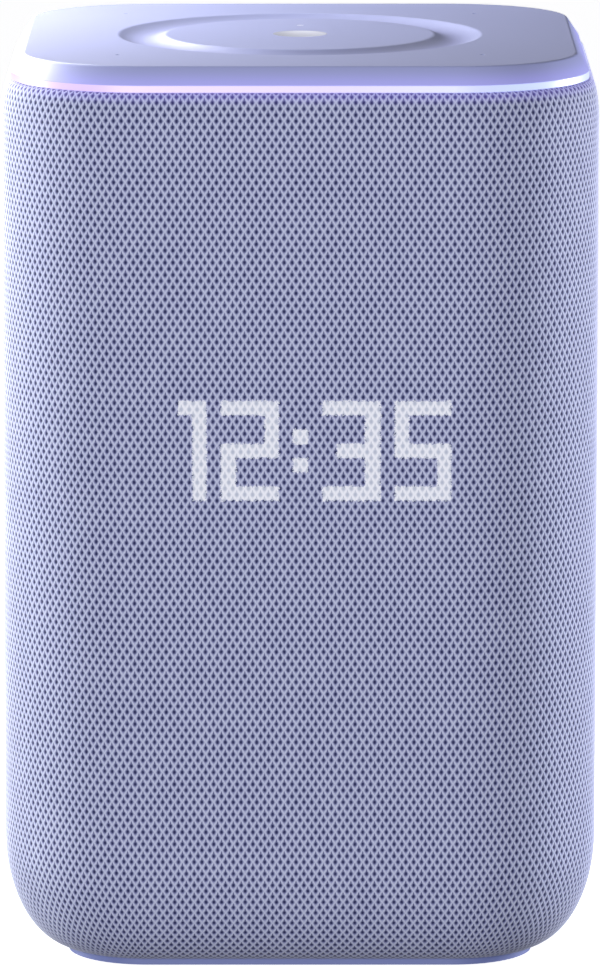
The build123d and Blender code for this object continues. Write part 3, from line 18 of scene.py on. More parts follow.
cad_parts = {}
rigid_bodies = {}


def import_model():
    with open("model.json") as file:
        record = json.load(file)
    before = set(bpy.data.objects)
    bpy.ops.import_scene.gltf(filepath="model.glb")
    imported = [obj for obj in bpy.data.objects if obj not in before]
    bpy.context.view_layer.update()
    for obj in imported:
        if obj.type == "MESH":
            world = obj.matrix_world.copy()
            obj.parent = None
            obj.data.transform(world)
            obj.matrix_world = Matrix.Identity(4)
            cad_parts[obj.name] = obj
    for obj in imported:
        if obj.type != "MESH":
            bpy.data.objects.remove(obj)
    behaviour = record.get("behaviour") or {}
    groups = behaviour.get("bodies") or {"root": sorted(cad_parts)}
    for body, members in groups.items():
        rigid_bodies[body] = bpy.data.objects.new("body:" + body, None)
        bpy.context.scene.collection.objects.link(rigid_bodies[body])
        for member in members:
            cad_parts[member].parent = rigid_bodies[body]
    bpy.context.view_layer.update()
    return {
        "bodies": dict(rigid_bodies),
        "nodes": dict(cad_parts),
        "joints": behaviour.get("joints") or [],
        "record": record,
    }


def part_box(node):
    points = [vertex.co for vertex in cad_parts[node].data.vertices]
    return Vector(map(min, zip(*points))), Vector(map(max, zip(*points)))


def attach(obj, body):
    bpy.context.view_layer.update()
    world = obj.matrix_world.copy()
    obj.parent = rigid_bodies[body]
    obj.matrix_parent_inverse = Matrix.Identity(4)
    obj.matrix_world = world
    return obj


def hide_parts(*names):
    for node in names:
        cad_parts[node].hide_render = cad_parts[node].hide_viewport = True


LOG = logging.getLogger("speaker")
MM = 0.001
HOUSING = "housing"
BLACK = (0.0, 0.0, 0.0, 1.0)

# Radius of the column's upright corners, over the sleeve.
CORNER = 34 * MM

# Width of a clock lamp as a share of the distance between lamps.
LAMP_SHARE = 1.6 / 3.34

# How near two points are when they are the same one, in metres.
SAME = 1e-6

# Settings that many nodes share.
ADD, TAKE, TIMES, TIMES_PLUS, LENGTH = (
    {"operation": name} for name in ("ADD", "SUBTRACT", "MULTIPLY", "MULTIPLY_ADD", "LENGTH"))
TWO_COLOURS = {"data_type": "RGBA"}
EASED = {"interpolation_type": "SMOOTHSTEP"}


class Interpolation(Enum):
    """How a colour ramp goes from one stop to the next."""

    BLENDED = "LINEAR"
    STEPPED = "CONSTANT"


def linear(hex_colour: str) -> tuple[float, ...]:
    """Turns an sRGB hex colour into linear light.

    Args:
        hex_colour: six hex digits, such as "b9bee1".

    Returns:
        Red, green, blue and full opacity.
    """
    parts = [int(hex_colour[i:i + 2], 16) / 255 for i in (0, 2, 4)]
    lit = [p / 12.92 if p <= 0.04045 else ((p + 0.055) / 1.055) ** 2.4 for p in parts]
    return *lit, 1.0


def shade(colour: tuple[float, ...], factor: float) -> tuple[float, ...]:
    """A colour made lighter or darker by a factor, with full opacity."""
    return *(min(1.0, part * factor) for part in colour[:3]), 1.0


def fill_ramp(ramp: bpy.types.ColorRamp, stops: tuple[Interpolation, list]) -> None:
    """Gives a colour ramp its stops.

    Args:
        ramp: the ramp.
        stops: how it goes from stop to stop, and the positions and colours from the lowest.
    """
    kind, places = stops
    ramp.interpolation = kind.value
    while len(ramp.elements) > 1:
        ramp.elements.remove(ramp.elements[-1])
    for number, (position, colour) in enumerate(places):
        element = ramp.elements.new(position) if number else ramp.elements[0]
        element.position = position
        element.color = colour


class Tree:
    """A material's node tree that is filled one node at a time."""

    def __init__(self, name: str) -> None:
        """Makes an empty material with an output node."""
        self.material = bpy.data.materials.new(name)
        self.material.use_nodes = True
        self.nodes = self.material.node_tree.nodes
        self.links = self.material.node_tree.links
        self.nodes.clear()

    def add(self, kind: str, settings: dict | None = None, inputs: dict | tuple = (),
            out: int | str = 0) -> bpy.types.NodeSocket | None:
        """Adds a node with its settings and links.

        Args:
            kind: node type without the "ShaderNode" prefix.
            settings: attributes of the node; "stops" fills a colour ramp from its lowest stop up.
            inputs: values or output sockets, in order or by the input's name or index.
            out: which output to return.

        Returns:
            The chosen output socket, or None for a node that has none.
        """
        node = self.nodes.new("ShaderNode" + kind)
        for key, value in (settings or {}).items():
            if key == "stops":
                fill_ramp(node.color_ramp, value)
            else:
                setattr(node, key, value)
        for key, value in (inputs if isinstance(inputs, dict) else dict(enumerate(inputs))).items():
            if isinstance(value, bpy.types.NodeSocket):
                self.links.new(value, node.inputs[key])
            else:
                node.inputs[key].default_value = value
        return node.outputs[out] if len(node.outputs) else None

    def finish(self, shader: bpy.types.NodeSocket) -> bpy.types.Material:
        """Links the shader to the output and returns the material."""
        self.add("OutputMaterial", None, {"Surface": shader})
        return self.material


class Grain(Enum):
    """How a surface was made, as the scale of its fine texture in millimetres and its depth."""

    POLISHED = (0.0, 0.0)
    SATIN_MOULD = (0.35, 0.012)
    SPARK_MOULD = (0.55, 0.05)
    CAST = (0.9, 0.08)
    FOAM = (0.6, 0.15)
    PULP = (1.4, 0.12)
    BRUSHED = (0.25, 0.015)


@dataclass(frozen=True)
class Finish:
    """A plain finish: colour, gloss and the grain that its making left.

    Attributes:
        name: what the real material is and how it was made.
        colour: sRGB hex.
        roughness: 0 is a mirror.
        metallic: 1 for bare metal.
        grain: fine surface texture.
        mottle: how much the colour varies over a few centimetres.
        ior: refractive index, for what isn't metal.
        coat: clear coat weight.
        glow: sRGB hex of its own light, or an empty string.
        glow_strength: strength of that light.
        see_through: transmission weight.
    """

    name: str
    colour: str
    roughness: float
    metallic: float = 0.0
    grain: Grain = Grain.SATIN_MOULD
    mottle: float = 0.04
    ior: float = 1.5
    coat: float = 0.0
    glow: str = ""
    glow_strength: float = 0.0
    see_through: float = 0.0

    def build(self) -> bpy.types.Material:
        """Makes the material.

        Returns:
            The material.
        """
        tree = Tree(self.name)
        place = tree.add("TexCoord", out="Object")
        # Soft patches about 22 mm across.
        cloud = tree.add("TexNoise", None, {"Vector": place, "Scale": 45.0, "Detail": 3.0})
        base = linear(self.colour)
        colour = tree.add("Mix", TWO_COLOURS, {
            0: cloud, 6: shade(base, 1 - self.mottle), 7: shade(base, 1 + self.mottle)}, out=2)
        rough = tree.add("MapRange", None, {0: cloud, 3: max(0.02, self.roughness - 0.05),
                                            4: min(1.0, self.roughness + 0.05)})
        inputs: dict = {"Base Color": colour, "Roughness": rough, "Metallic": self.metallic}
        if not self.metallic:
            inputs["IOR"] = self.ior
        if self.coat:
            inputs["Coat Weight"] = self.coat
            inputs["Coat Roughness"] = 0.15
        if self.see_through:
            inputs["Transmission Weight"] = self.see_through
        if self.glow:
            inputs["Emission Color"] = linear(self.glow)
            inputs["Emission Strength"] = self.glow_strength
        size, depth = self.grain.value
        if size:
            fine = tree.add("TexNoise", None, {"Vector": place, "Scale": 1 / (size * MM), "Detail": 2.0})
            inputs["Normal"] = tree.add("Bump", None, {"Strength": 0.6, "Distance": depth * MM,
                                                       "Height": fine})
        return tree.finish(tree.add("BsdfPrincipled", None, inputs))


# Every slot of the record: what it is made of, and what that gives the eye.
PLAIN_FINISHES: dict[str, Finish] = {
    # Moulded ABS in spark-eroded tools: matt, with a fine even texture.
    "shell_plastic": Finish("abs_moulded_dark", "2b2e44", 0.55, grain=Grain.SPARK_MOULD),
    "base_plastic": Finish("abs_moulded_lilac_base", "7681b3", 0.42),
    "inner_plastic": Finish("abs_moulded_black", "1c1c20", 0.5, grain=Grain.SPARK_MOULD),
    "driver_plastic": Finish("glass_filled_abs", "17171a", 0.6, grain=Grain.SPARK_MOULD),
    "mask_plastic": Finish("polycarbonate_black", "0e0e11", 0.5),
    "port_plastic": Finish("abs_moulded_lilac_port", "7d83b0", 0.4),
    "jack_plastic": Finish("nylon_black", "121215", 0.38),
    "button_plastic": Finish("abs_moulded_lilac_button", "9a9fc9", 0.34),
    # Clear acrylic light pipe: smooth and slightly lit from below.
    "status_light": Finish("acrylic_clear", "f2f3ff", 0.12, grain=Grain.POLISHED, coat=0.5,
                           glow="eef0ff", glow_strength=0.9),
    # Films: matt white over the lamps, and amber with a soft shine on the leads.
    "diffuser_film": Finish("polyester_film_matt", "e9ebf4", 0.7, grain=Grain.SATIN_MOULD),
    "ribbon_film": Finish("polyimide_film", "c0812f", 0.3, grain=Grain.POLISHED, coat=0.3),
    # Rubbers and foams: very matt, dark.
    "foot_rubber": Finish("silicone_rubber", "3a3c55", 0.75, grain=Grain.CAST),
    "lead_rubber": Finish("pvc_sheath", "1a1a1d", 0.5, grain=Grain.SATIN_MOULD),
    "surround_rubber": Finish("butyl_rubber", "121213", 0.55),
    "seal_foam": Finish("closed_cell_foam", "242427", 0.95, grain=Grain.FOAM),
    # Metals: bright streaks where drawn or brushed, an even dull skin where painted.
    "screw_steel": Finish("zinc_plated_steel", "a9abb0", 0.32, 1.0, Grain.BRUSHED),
    "tinned_steel": Finish("tinned_steel", "c9cacc", 0.28, 1.0, Grain.BRUSHED),
    "heat_sink_metal": Finish("anodised_aluminium_black", "2a2a2d", 0.45, 1.0, Grain.BRUSHED),
    "can_metal": Finish("drawn_aluminium", "d2d3d6", 0.25, 1.0, Grain.BRUSHED),
    "basket_metal": Finish("powder_coated_steel", "151517", 0.55, grain=Grain.CAST),
    "plated_steel": Finish("yellow_zinc_steel", "b5ab86", 0.3, 1.0, Grain.BRUSHED),
    "coil_copper": Finish("enamelled_copper", "b8693a", 0.3, 1.0, Grain.BRUSHED),
    "radiator_metal": Finish("anodised_aluminium", "a6a8ad", 0.35, 1.0, Grain.BRUSHED),
    # Boards under glossy green lacquer, clear glossy lamps, and dull grey ferrite.
    "circuit_board": Finish("solder_mask_green", "0f4a30", 0.35, coat=0.3, mottle=0.1),
    "lamp": Finish("epoxy_lamp", "f4f0d8", 0.2, grain=Grain.POLISHED, coat=0.4),
    "ferrite": Finish("sintered_ferrite", "222224", 0.6, grain=Grain.CAST),
    # Driver cloth and paper: fibrous, with no shine.
    "driver_cloth": Finish("doped_cloth", "7c6434", 0.85, grain=Grain.PULP, mottle=0.12),
    "cone_paper": Finish("pressed_pulp", "1f1f22", 0.9, grain=Grain.PULP, mottle=0.15),
}


@dataclass(frozen=True)
class Column:
    """The rounded-square column that the outside pieces follow.

    Attributes:
        half: half the width over the sleeve.
        corner: radius of the vertical corners, over the sleeve.
    """

    half: float
    corner: float

    @property
    def core(self) -> float:
        """Half the length of a side's straight stretch."""
        return self.half - self.corner

    @property
    def girth(self) -> float:
        """The way round the outside."""
        return 8 * self.core + 2 * math.pi * self.corner

    def outline(self, along: np.ndarray) -> tuple[np.ndarray, np.ndarray]:
        """Points on the core line and the outward directions there.

        Args:
            along: distance round the outside, from the middle of the back by way of -X.

        Returns:
            Core points and unit outward directions, each N by 2.
        """
        side = 2 * self.core
        arc = math.pi / 2 * self.corner
        shifted = np.mod(along + self.core, side + arc)
        turn = np.floor_divide(along + self.core, side + arc)
        on_side = np.minimum(shifted, side) - self.core
        angle = np.maximum(shifted - side, 0.0) / self.corner
        outward = np.stack([-np.sin(angle), np.cos(angle)], 1)
        core = np.stack([-on_side, np.full_like(on_side, self.core)], 1)
        quarter = np.pi / 2 * turn
        cos, sin = np.cos(quarter)[:, None], np.sin(quarter)[:, None]

        def rotate(v: np.ndarray) -> np.ndarray:
            """Turns points on the first side to their own side."""
            return np.concatenate([v[:, :1] * cos - v[:, 1:] * sin, v[:, :1] * sin + v[:, 1:] * cos], 1)

        return rotate(core), rotate(outward)

    def points(self, along: np.ndarray, inset: np.ndarray | float, z: np.ndarray | float) -> np.ndarray:
        """Points an inset in from the outside, at given heights.

        Args:
            along: distance round the outside.
            inset: how far in each point lies.
            z: its height.

        Returns:
            One place for each distance.
        """
        core, outward = self.outline(along)
        flat = core + outward * np.reshape(self.corner - np.asarray(inset) * np.ones(len(along)), (-1, 1))
        return np.column_stack([flat, np.asarray(z) * np.ones(len(along))])


@dataclass(frozen=True)
class Profile:
    """An upright outline as (inset, height) points, measured along its length."""

    inset: np.ndarray
    height: np.ndarray

    @property
    def reach(self) -> np.ndarray:
        """Length along the outline at each point."""
        steps = np.hypot(np.diff(self.inset), np.diff(self.height))
        return np.concatenate([[0.0], np.cumsum(steps)])

    def at(self, way: np.ndarray) -> tuple[np.ndarray, np.ndarray]:
        """Inset and height at distances along the outline."""
        return np.interp(way, self.reach, self.inset), np.interp(way, self.reach, self.height)


def ellipse_points(centre: tuple[float, float], across: float, up: float, start: float, end: float,
                   count: int = 60) -> tuple[np.ndarray, np.ndarray]:
    """Points of an upright elliptical arc.

    Args:
        centre: inset and height of its centre.
        across: half its width.
        up: half its height.
        start: first angle in degrees, 0 towards the outside.
        end: last angle.
        count: number of points.

    Returns:
        The points' insets and heights.
    """
    angle = np.radians(np.linspace(start, end, count))
    return centre[0] - across * np.cos(angle), centre[1] + up * np.sin(angle)


def mesh_object(bm: bmesh.types.BMesh, name: str, material: bpy.types.Material,
                smooth: bool = True) -> bpy.types.Object:
    """Makes an object of a bmesh, with its material.

    Args:
        bm: the finished shape, which is freed.
        name: name of the piece.
        material: its material.
        smooth: whether its faces are shaded smooth.

    Returns:
        The new object, linked to the scene.
    """
    mesh = bpy.data.meshes.new(name)
    for face in bm.faces:
        face.smooth = smooth
    bm.to_mesh(mesh)
    bm.free()
    mesh.materials.append(material)
    obj = bpy.data.objects.new(name, mesh)
    bpy.context.scene.collection.objects.link(obj)
    LOG.info("%s: %d faces", name, len(mesh.polygons))
    return obj


def grid_steps(bm: bmesh.types.BMesh, across: int, up: int) -> tuple[list, np.ndarray, np.ndarray]:
    """Adds a flat grid and counts the steps to each of its points.

    Args:
        bm: where the grid is added.
        across: number of faces across.
        up: number of faces up.

    Returns:
        The points, and the steps across and up to each of them.
    """
    made = bmesh.ops.create_grid(bm, x_segments=across, y_segments=up, size=0.5)["verts"]
    flat = np.array([v.co[:2] for v in made])
    low, high = flat.min(0), flat.max(0)
    steps = np.rint((flat - low) / (high - low) * (across, up))
    return made, steps[:, 0], steps[:, 1]


def put(verts: list, places: np.ndarray) -> None:
    """Moves points to their places."""
    for vert, place in zip(verts, places):
        vert.co = place


@dataclass
class KnittedSleeve:
    """The warp-knitted sleeve that is stretched over the column.

    It starts as the flat cloth, one grid point for each crossing of the yarn, and is wrapped
    round the column. The crossings stand out, and the holes between them lie deeper.

    Attributes:
        column: what it is stretched over.
        low: height of its lower hem.
        high: height of its upper hem.
        port_height: height of the rear window's middle.
        columns: number of knit columns round the column.
        row_pitch: distance between rows.
        relief: how deep the holes lie.
        hem_relief: the same in a hem's last row.
        foot_in: how far the cloth turns in at the foot.
        foot_up: how far up that starts.
        shoulder_in: how far it turns in under the ring.
        shoulder_up: how far down that starts.
        tuck_top: flat hem under the ring.
        tuck_bottom: flat hem over the base.
        port_half: half the rear window's width and height.
        port_gap: gap between the cloth and the rear panel.
        port_reach: how far outside the window a point is still drawn to its edge.
        port_roll: how deep the window's edge turns in.
    """

    column: Column
    low: float
    high: float
    port_height: float
    columns: int = 274
    row_pitch: float = 1.43 * MM
    relief: float = 0.34 * MM
    hem_relief: float = 0.1 * MM
    foot_in: float = 16 * MM
    foot_up: float = 27 * MM
    shoulder_in: float = 2.2 * MM
    shoulder_up: float = 9 * MM
    tuck_top: float = 1.6 * MM
    tuck_bottom: float = 1.8 * MM
    port_half: tuple[float, float] = (23 * MM, 8.5 * MM)
    port_gap: float = 0.12 * MM
    port_reach: float = 0.25 * MM
    port_roll: float = 0.9 * MM

    def profile(self) -> Profile:
        """The sleeve's upright outline, from its hem over the base to its hem under the ring.

        Returns:
            The outline.
        """
        foot = ellipse_points((self.foot_in, self.low + self.foot_up), self.foot_in, self.foot_up, -90, 0)
        shoulder = ellipse_points((self.shoulder_in, self.high - self.shoulder_up), self.shoulder_in,
                                  self.shoulder_up, 0, 90)
        return Profile(np.concatenate([[self.foot_in + self.tuck_bottom], foot[0], shoulder[0],
                                       [self.shoulder_in + self.tuck_top]]),
                       np.concatenate([[self.low], foot[1], shoulder[1], [self.high]]))

    def build(self, material: bpy.types.Material) -> bpy.types.Object:
        """Knits the cloth, wraps it and opens the rear port.

        Args:
            material: the knit's material.

        Returns:
            The sleeve.
        """
        profile = self.profile()
        rows = round(profile.reach[-1] / self.row_pitch)
        bm = bmesh.new()
        verts, across, up = grid_steps(bm, 2 * self.columns, rows)
        bm.verts.index_update()
        raised = (across + up) % 2 == 1
        for face in list(bm.faces):
            ends = [v for v in face.verts if raised[v.index]]
            bmesh.utils.face_split(face, *ends)
        knit = bm.loops.layers.uv.new("knit")
        for face in bm.faces:
            for loop in face.loops:
                loop[knit].uv = (across[loop.vert.index] / 2, up[loop.vert.index] / 2)
        put(verts, self.wrap(profile, across, up, rows, raised))
        seam = [v for v in bm.verts if abs(v.co.x) < SAME and v.co.y > 0]
        bmesh.ops.remove_doubles(bm, verts=seam, dist=10 * SAME)
        self.open_port(bm)
        return mesh_object(bm, "knitted_sleeve", material)

    def wrap(self, profile: Profile, across: np.ndarray, up: np.ndarray, rows: int,
             raised: np.ndarray) -> np.ndarray:
        """Places of the cloth's points round the column, with the knit's relief.

        Args:
            profile: the sleeve's upright outline.
            across: steps round the column.
            up: steps up the outline.
            rows: number of rows.
            raised: where the yarn stands out.

        Returns:
            One place for each point.
        """
        length = profile.reach[-1]
        way = up / rows * length
        inset, height = profile.at(way)
        ahead, behind = profile.at(way + 0.2 * MM), profile.at(way - 0.2 * MM)
        run = np.stack([ahead[1] - behind[1], ahead[0] - behind[0]], 1)
        run /= np.linalg.norm(run, axis=1)[:, None]
        depth = np.where(raised, 0.0, self.relief)
        depth[(up == 0) | (up == rows)] = self.hem_relief
        along = across / (2 * self.columns) * self.column.girth
        _, outward = self.column.outline(along)
        points = self.column.points(along, inset, height)
        points[:, :2] -= outward * (depth * run[:, 0])[:, None]
        points[:, 2] -= depth * run[:, 1]
        return points

    def open_port(self, bm: bmesh.types.BMesh) -> None:
        """Cuts the window for the rear panel and turns its edge in.

        Args:
            bm: the wrapped cloth.
        """
        half_x, radius = self.port_half
        inside: dict = {}
        for vert in bm.verts:
            if vert.co.y > self.column.half - 2 * MM:
                x, z = vert.co.x, vert.co.z - self.port_height
                nearest = max(radius - half_x, min(half_x - radius, x))
                away = Vector((x - nearest, 0, z))
                if away.length < radius + self.port_reach:
                    inside[vert] = away
        cut = [f for f in bm.faces if all(v in inside for v in f.verts)]
        bmesh.ops.delete(bm, geom=cut, context="FACES")
        for vert, away in inside.items():
            if vert.is_valid and vert.link_faces:
                vert.co += away.normalized() * (radius + self.port_gap - away.length)
                vert.co.y = self.column.half - self.port_roll


@dataclass
class MouldedCap:
    """The moulded cover: sloped rim, sunk touch groove, dimple, microphone holes and light hole.

    Attributes:
        column: the column that the rim follows.
        low: height of its lower edge, on the light ring.
        high: height of its flat top.
        chassis: height of the frame that its posts stand on.
        rim_in: how far in the rim's lower edge lies.
        top_in: how far in its upper edge lies.
        leg_in: how far in its underside reaches.
        leg_up: how far up that underside lies.
        edge: round of the crisp upper edges.
        low_edge: round of the lower edge.
        groove: the touch groove's inner and outer radius, and about how deep it is.
        groove_steps: steps of each round in its section.
        dimple: radius and depth of the dimple.
        dimple_steps: steps from its middle to its edge.
        microphones: how far out the microphone holes are, each way.
        hole: radius of a microphone hole.
        lens: radius of the light hole and how far behind the middle it is.
        hole_depth: depth of those holes.
        hole_sides: number of sides of each.
        post: radius of the screw posts and how far from the middle they are.
        post_sides: number of sides of each.
        around: steps in a full turn.
    """

    column: Column
    low: float
    high: float
    chassis: float
    rim_in: float = 2.3 * MM
    top_in: float = 5.2 * MM
    leg_in: float = 12.1 * MM
    leg_up: float = 0.8 * MM
    edge: float = 0.55 * MM
    low_edge: float = 0.25 * MM
    groove: tuple[float, float, float] = (32 * MM, 43.2 * MM, 1.3 * MM)
    groove_steps: int = 12
    dimple: tuple[float, float] = (6.4 * MM, 0.5 * MM)
    dimple_steps: int = 10
    microphones: float = 42.5 * MM
    hole: float = 0.6 * MM
    lens: tuple[float, float] = (1.0 * MM, 18 * MM)
    hole_depth: float = 2.0 * MM
    hole_sides: int = 24
    post: tuple[float, float] = (3.5 * MM, 52 * MM)
    post_sides: int = 32
    around: int = 256

    def build(self, material: bpy.types.Material) -> bpy.types.Object:
        """Makes the cover as one closed shell.

        Args:
            material: the cover's material.

        Returns:
            The cover.
        """
        bm = bmesh.new()
        self.add_rim(bm)
        self.add_dial(bm)
        for x in (-self.microphones, self.microphones):
            for y in (-self.microphones, self.microphones):
                self.add_hole(bm, self.hole, x, y)
        self.add_hole(bm, self.lens[0], 0.0, self.lens[1])
        self.fill_flats(bm)
        bmesh.ops.remove_doubles(bm, verts=bm.verts[:], dist=SAME)
        bmesh.ops.recalc_face_normals(bm, faces=bm.faces[:])
        self.add_posts(bm)
        cap = mesh_object(bm, "moulded_cover", material)
        for polygon in cap.data.polygons:
            polygon.use_smooth = abs(polygon.normal.z) < 0.9999
        return cap

    def add_rim(self, bm: bmesh.types.BMesh) -> None:
        """Adds the sloped rim, from the underside round to the flat top.

        Args:
            bm: where it is added.
        """
        corners = [(self.leg_in, self.low + self.leg_up), (self.leg_in, self.low), (self.rim_in, self.low),
                   (self.top_in, self.high), (self.top_in + 2 * self.edge, self.high)]
        outline = rounded(corners, [0.0, self.low_edge, self.edge])
        inset, height = np.array(outline).T
        count = len(inset) - 1
        verts, across, up = grid_steps(bm, self.around * 2, count)
        along = across / (self.around * 2) * self.column.girth
        pick = up.astype(int)
        put(verts, self.column.points(along, inset[pick], height[pick]))

    def add_dial(self, bm: bmesh.types.BMesh) -> None:
        """Spins the touch groove, which is one smooth bowl in section, and the dimple.

        Args:
            bm: where they are added.
        """
        inner, outer, depth = self.groove
        middle = Vector(((inner + outer) / 2, self.high - 2 * depth))
        wall = (middle - Vector((inner, self.high))).length - self.edge
        corners = [(inner - self.edge, self.high), (inner, self.high), tuple(middle), (outer, self.high),
                   (outer + self.edge, self.high)]
        self.spin(bm, rounded(corners, [self.edge, wall, self.edge], self.groove_steps))
        radius, sunk = self.dimple
        ball = (radius ** 2 + sunk ** 2) / (2 * sunk)
        half, count = math.asin(radius / ball), self.dimple_steps
        self.spin(bm, [(ball * math.sin(half * k / count),
                        self.high - sunk + ball * (1 - math.cos(half * k / count)))
                       for k in range(count + 1)])

    def spin(self, bm: bmesh.types.BMesh, outline: list[tuple[float, float]]) -> None:
        """Turns an outline about the upright axis.

        Args:
            bm: where the shape is added.
            outline: its points, as radius and height.
        """
        verts = [bm.verts.new((radius, 0.0, height)) for radius, height in outline]
        edges = [bm.edges.new(pair) for pair in zip(verts, verts[1:])]
        bmesh.ops.spin(bm, geom=verts + edges, cent=(0, 0, 0), axis=(0, 0, 1), dvec=(0, 0, 0),
                       angle=2 * math.pi, steps=self.around, use_merge=True, use_duplicate=False)
        pole = [v for v in bm.verts if v.co.xy.length < SAME]
        bmesh.ops.remove_doubles(bm, verts=pole, dist=SAME)

    def add_hole(self, bm: bmesh.types.BMesh, radius: float, x: float, y: float) -> None:
        """Adds the wall and the bottom of a small hole.

        Args:
            bm: where they are added.
            radius: the hole's radius.
            x: its place across.
            y: its place from front to back.
        """
        made = bmesh.ops.create_circle(bm, cap_ends=True, segments=self.hole_sides, radius=radius,
                                       matrix=Matrix.Translation((x, y, self.high - self.hole_depth)))
        bottom = next(f for f in made["verts"][0].link_faces)
        rim = bmesh.ops.extrude_edge_only(bm, edges=bottom.edges[:])["geom"]
        for vert in rim:
            if isinstance(vert, bmesh.types.BMVert):
                vert.co.z = self.high

    def fill_flats(self, bm: bmesh.types.BMesh) -> None:
        """Fills the flat top outside the groove, the disc inside it, and the underside.

        Args:
            bm: the open shapes, which become one shell.
        """
        bmesh.ops.remove_doubles(bm, verts=bm.verts[:], dist=SAME)
        open_edges = [e for e in bm.edges if len(e.link_faces) == 1]
        middle = (self.groove[0] + self.groove[1]) / 2

        def at(edge: bmesh.types.BMEdge, height: float) -> bool:
            """Whether an edge lies at a height."""
            return all(abs(v.co.z - height) < SAME for v in edge.verts)

        top = [e for e in open_edges if at(e, self.high)]
        outside = [e for e in top if e.verts[0].co.xy.length > middle]
        inside = [e for e in top if e.verts[0].co.xy.length <= middle]
        under = [e for e in open_edges if at(e, self.low + self.leg_up)]
        for edges in (outside, inside, under):
            bmesh.ops.triangle_fill(bm, use_beauty=True, use_dissolve=False, edges=edges, normal=(0, 0, 1))

    def add_posts(self, bm: bmesh.types.BMesh) -> None:
        """Adds the four screw posts under the cover.

        Args:
            bm: the finished shell.
        """
        radius, reach = self.post
        top = self.low + self.leg_up
        for x, y in ((reach, 0), (-reach, 0), (0, reach), (0, -reach)):
            bmesh.ops.create_cone(bm, cap_ends=True, segments=self.post_sides, radius1=radius,
                                  radius2=radius, depth=top - self.chassis,
                                  matrix=Matrix.Translation((x, y, (top + self.chassis) / 2)))


def rounded(corners: list[tuple[float, float]], radii: list[float],
            steps: int = 6) -> list[tuple[float, float]]:
    """An outline whose inner corners are rounded.

    Args:
        corners: points of the outline.
        radii: how far from each inner corner its round starts; 0 leaves it sharp.
        steps: number of steps in each round.

    Returns:
        Points of the rounded outline.
    """
    points = [corners[0]]
    for number, reach in enumerate(radii, 1):
        corner = Vector(corners[number])
        if reach == 0.0:
            points.append(tuple(corner))
            continue
        start = corner + (Vector(corners[number - 1]) - corner).normalized() * reach
        end = corner + (Vector(corners[number + 1]) - corner).normalized() * reach
        for k in range(steps + 1):
            t = k / steps
            points.append(tuple(start * (1 - t) ** 2 + corner * (2 * t * (1 - t)) + end * t ** 2))
    points.extend(corners[len(radii) + 1:])
    return points


@dataclass(frozen=True)
class Hole:
    """A rounded opening of the knit, inside a cell of one column by two rows.

    Attributes:
        middle: its centre in the cell.
        stretch: one over its half width and half height, in cells.
        shallow: how much less deep it is than the deepest one.
    """

    middle: tuple[float, float]
    stretch: tuple[float, float]
    shallow: float = 0.0


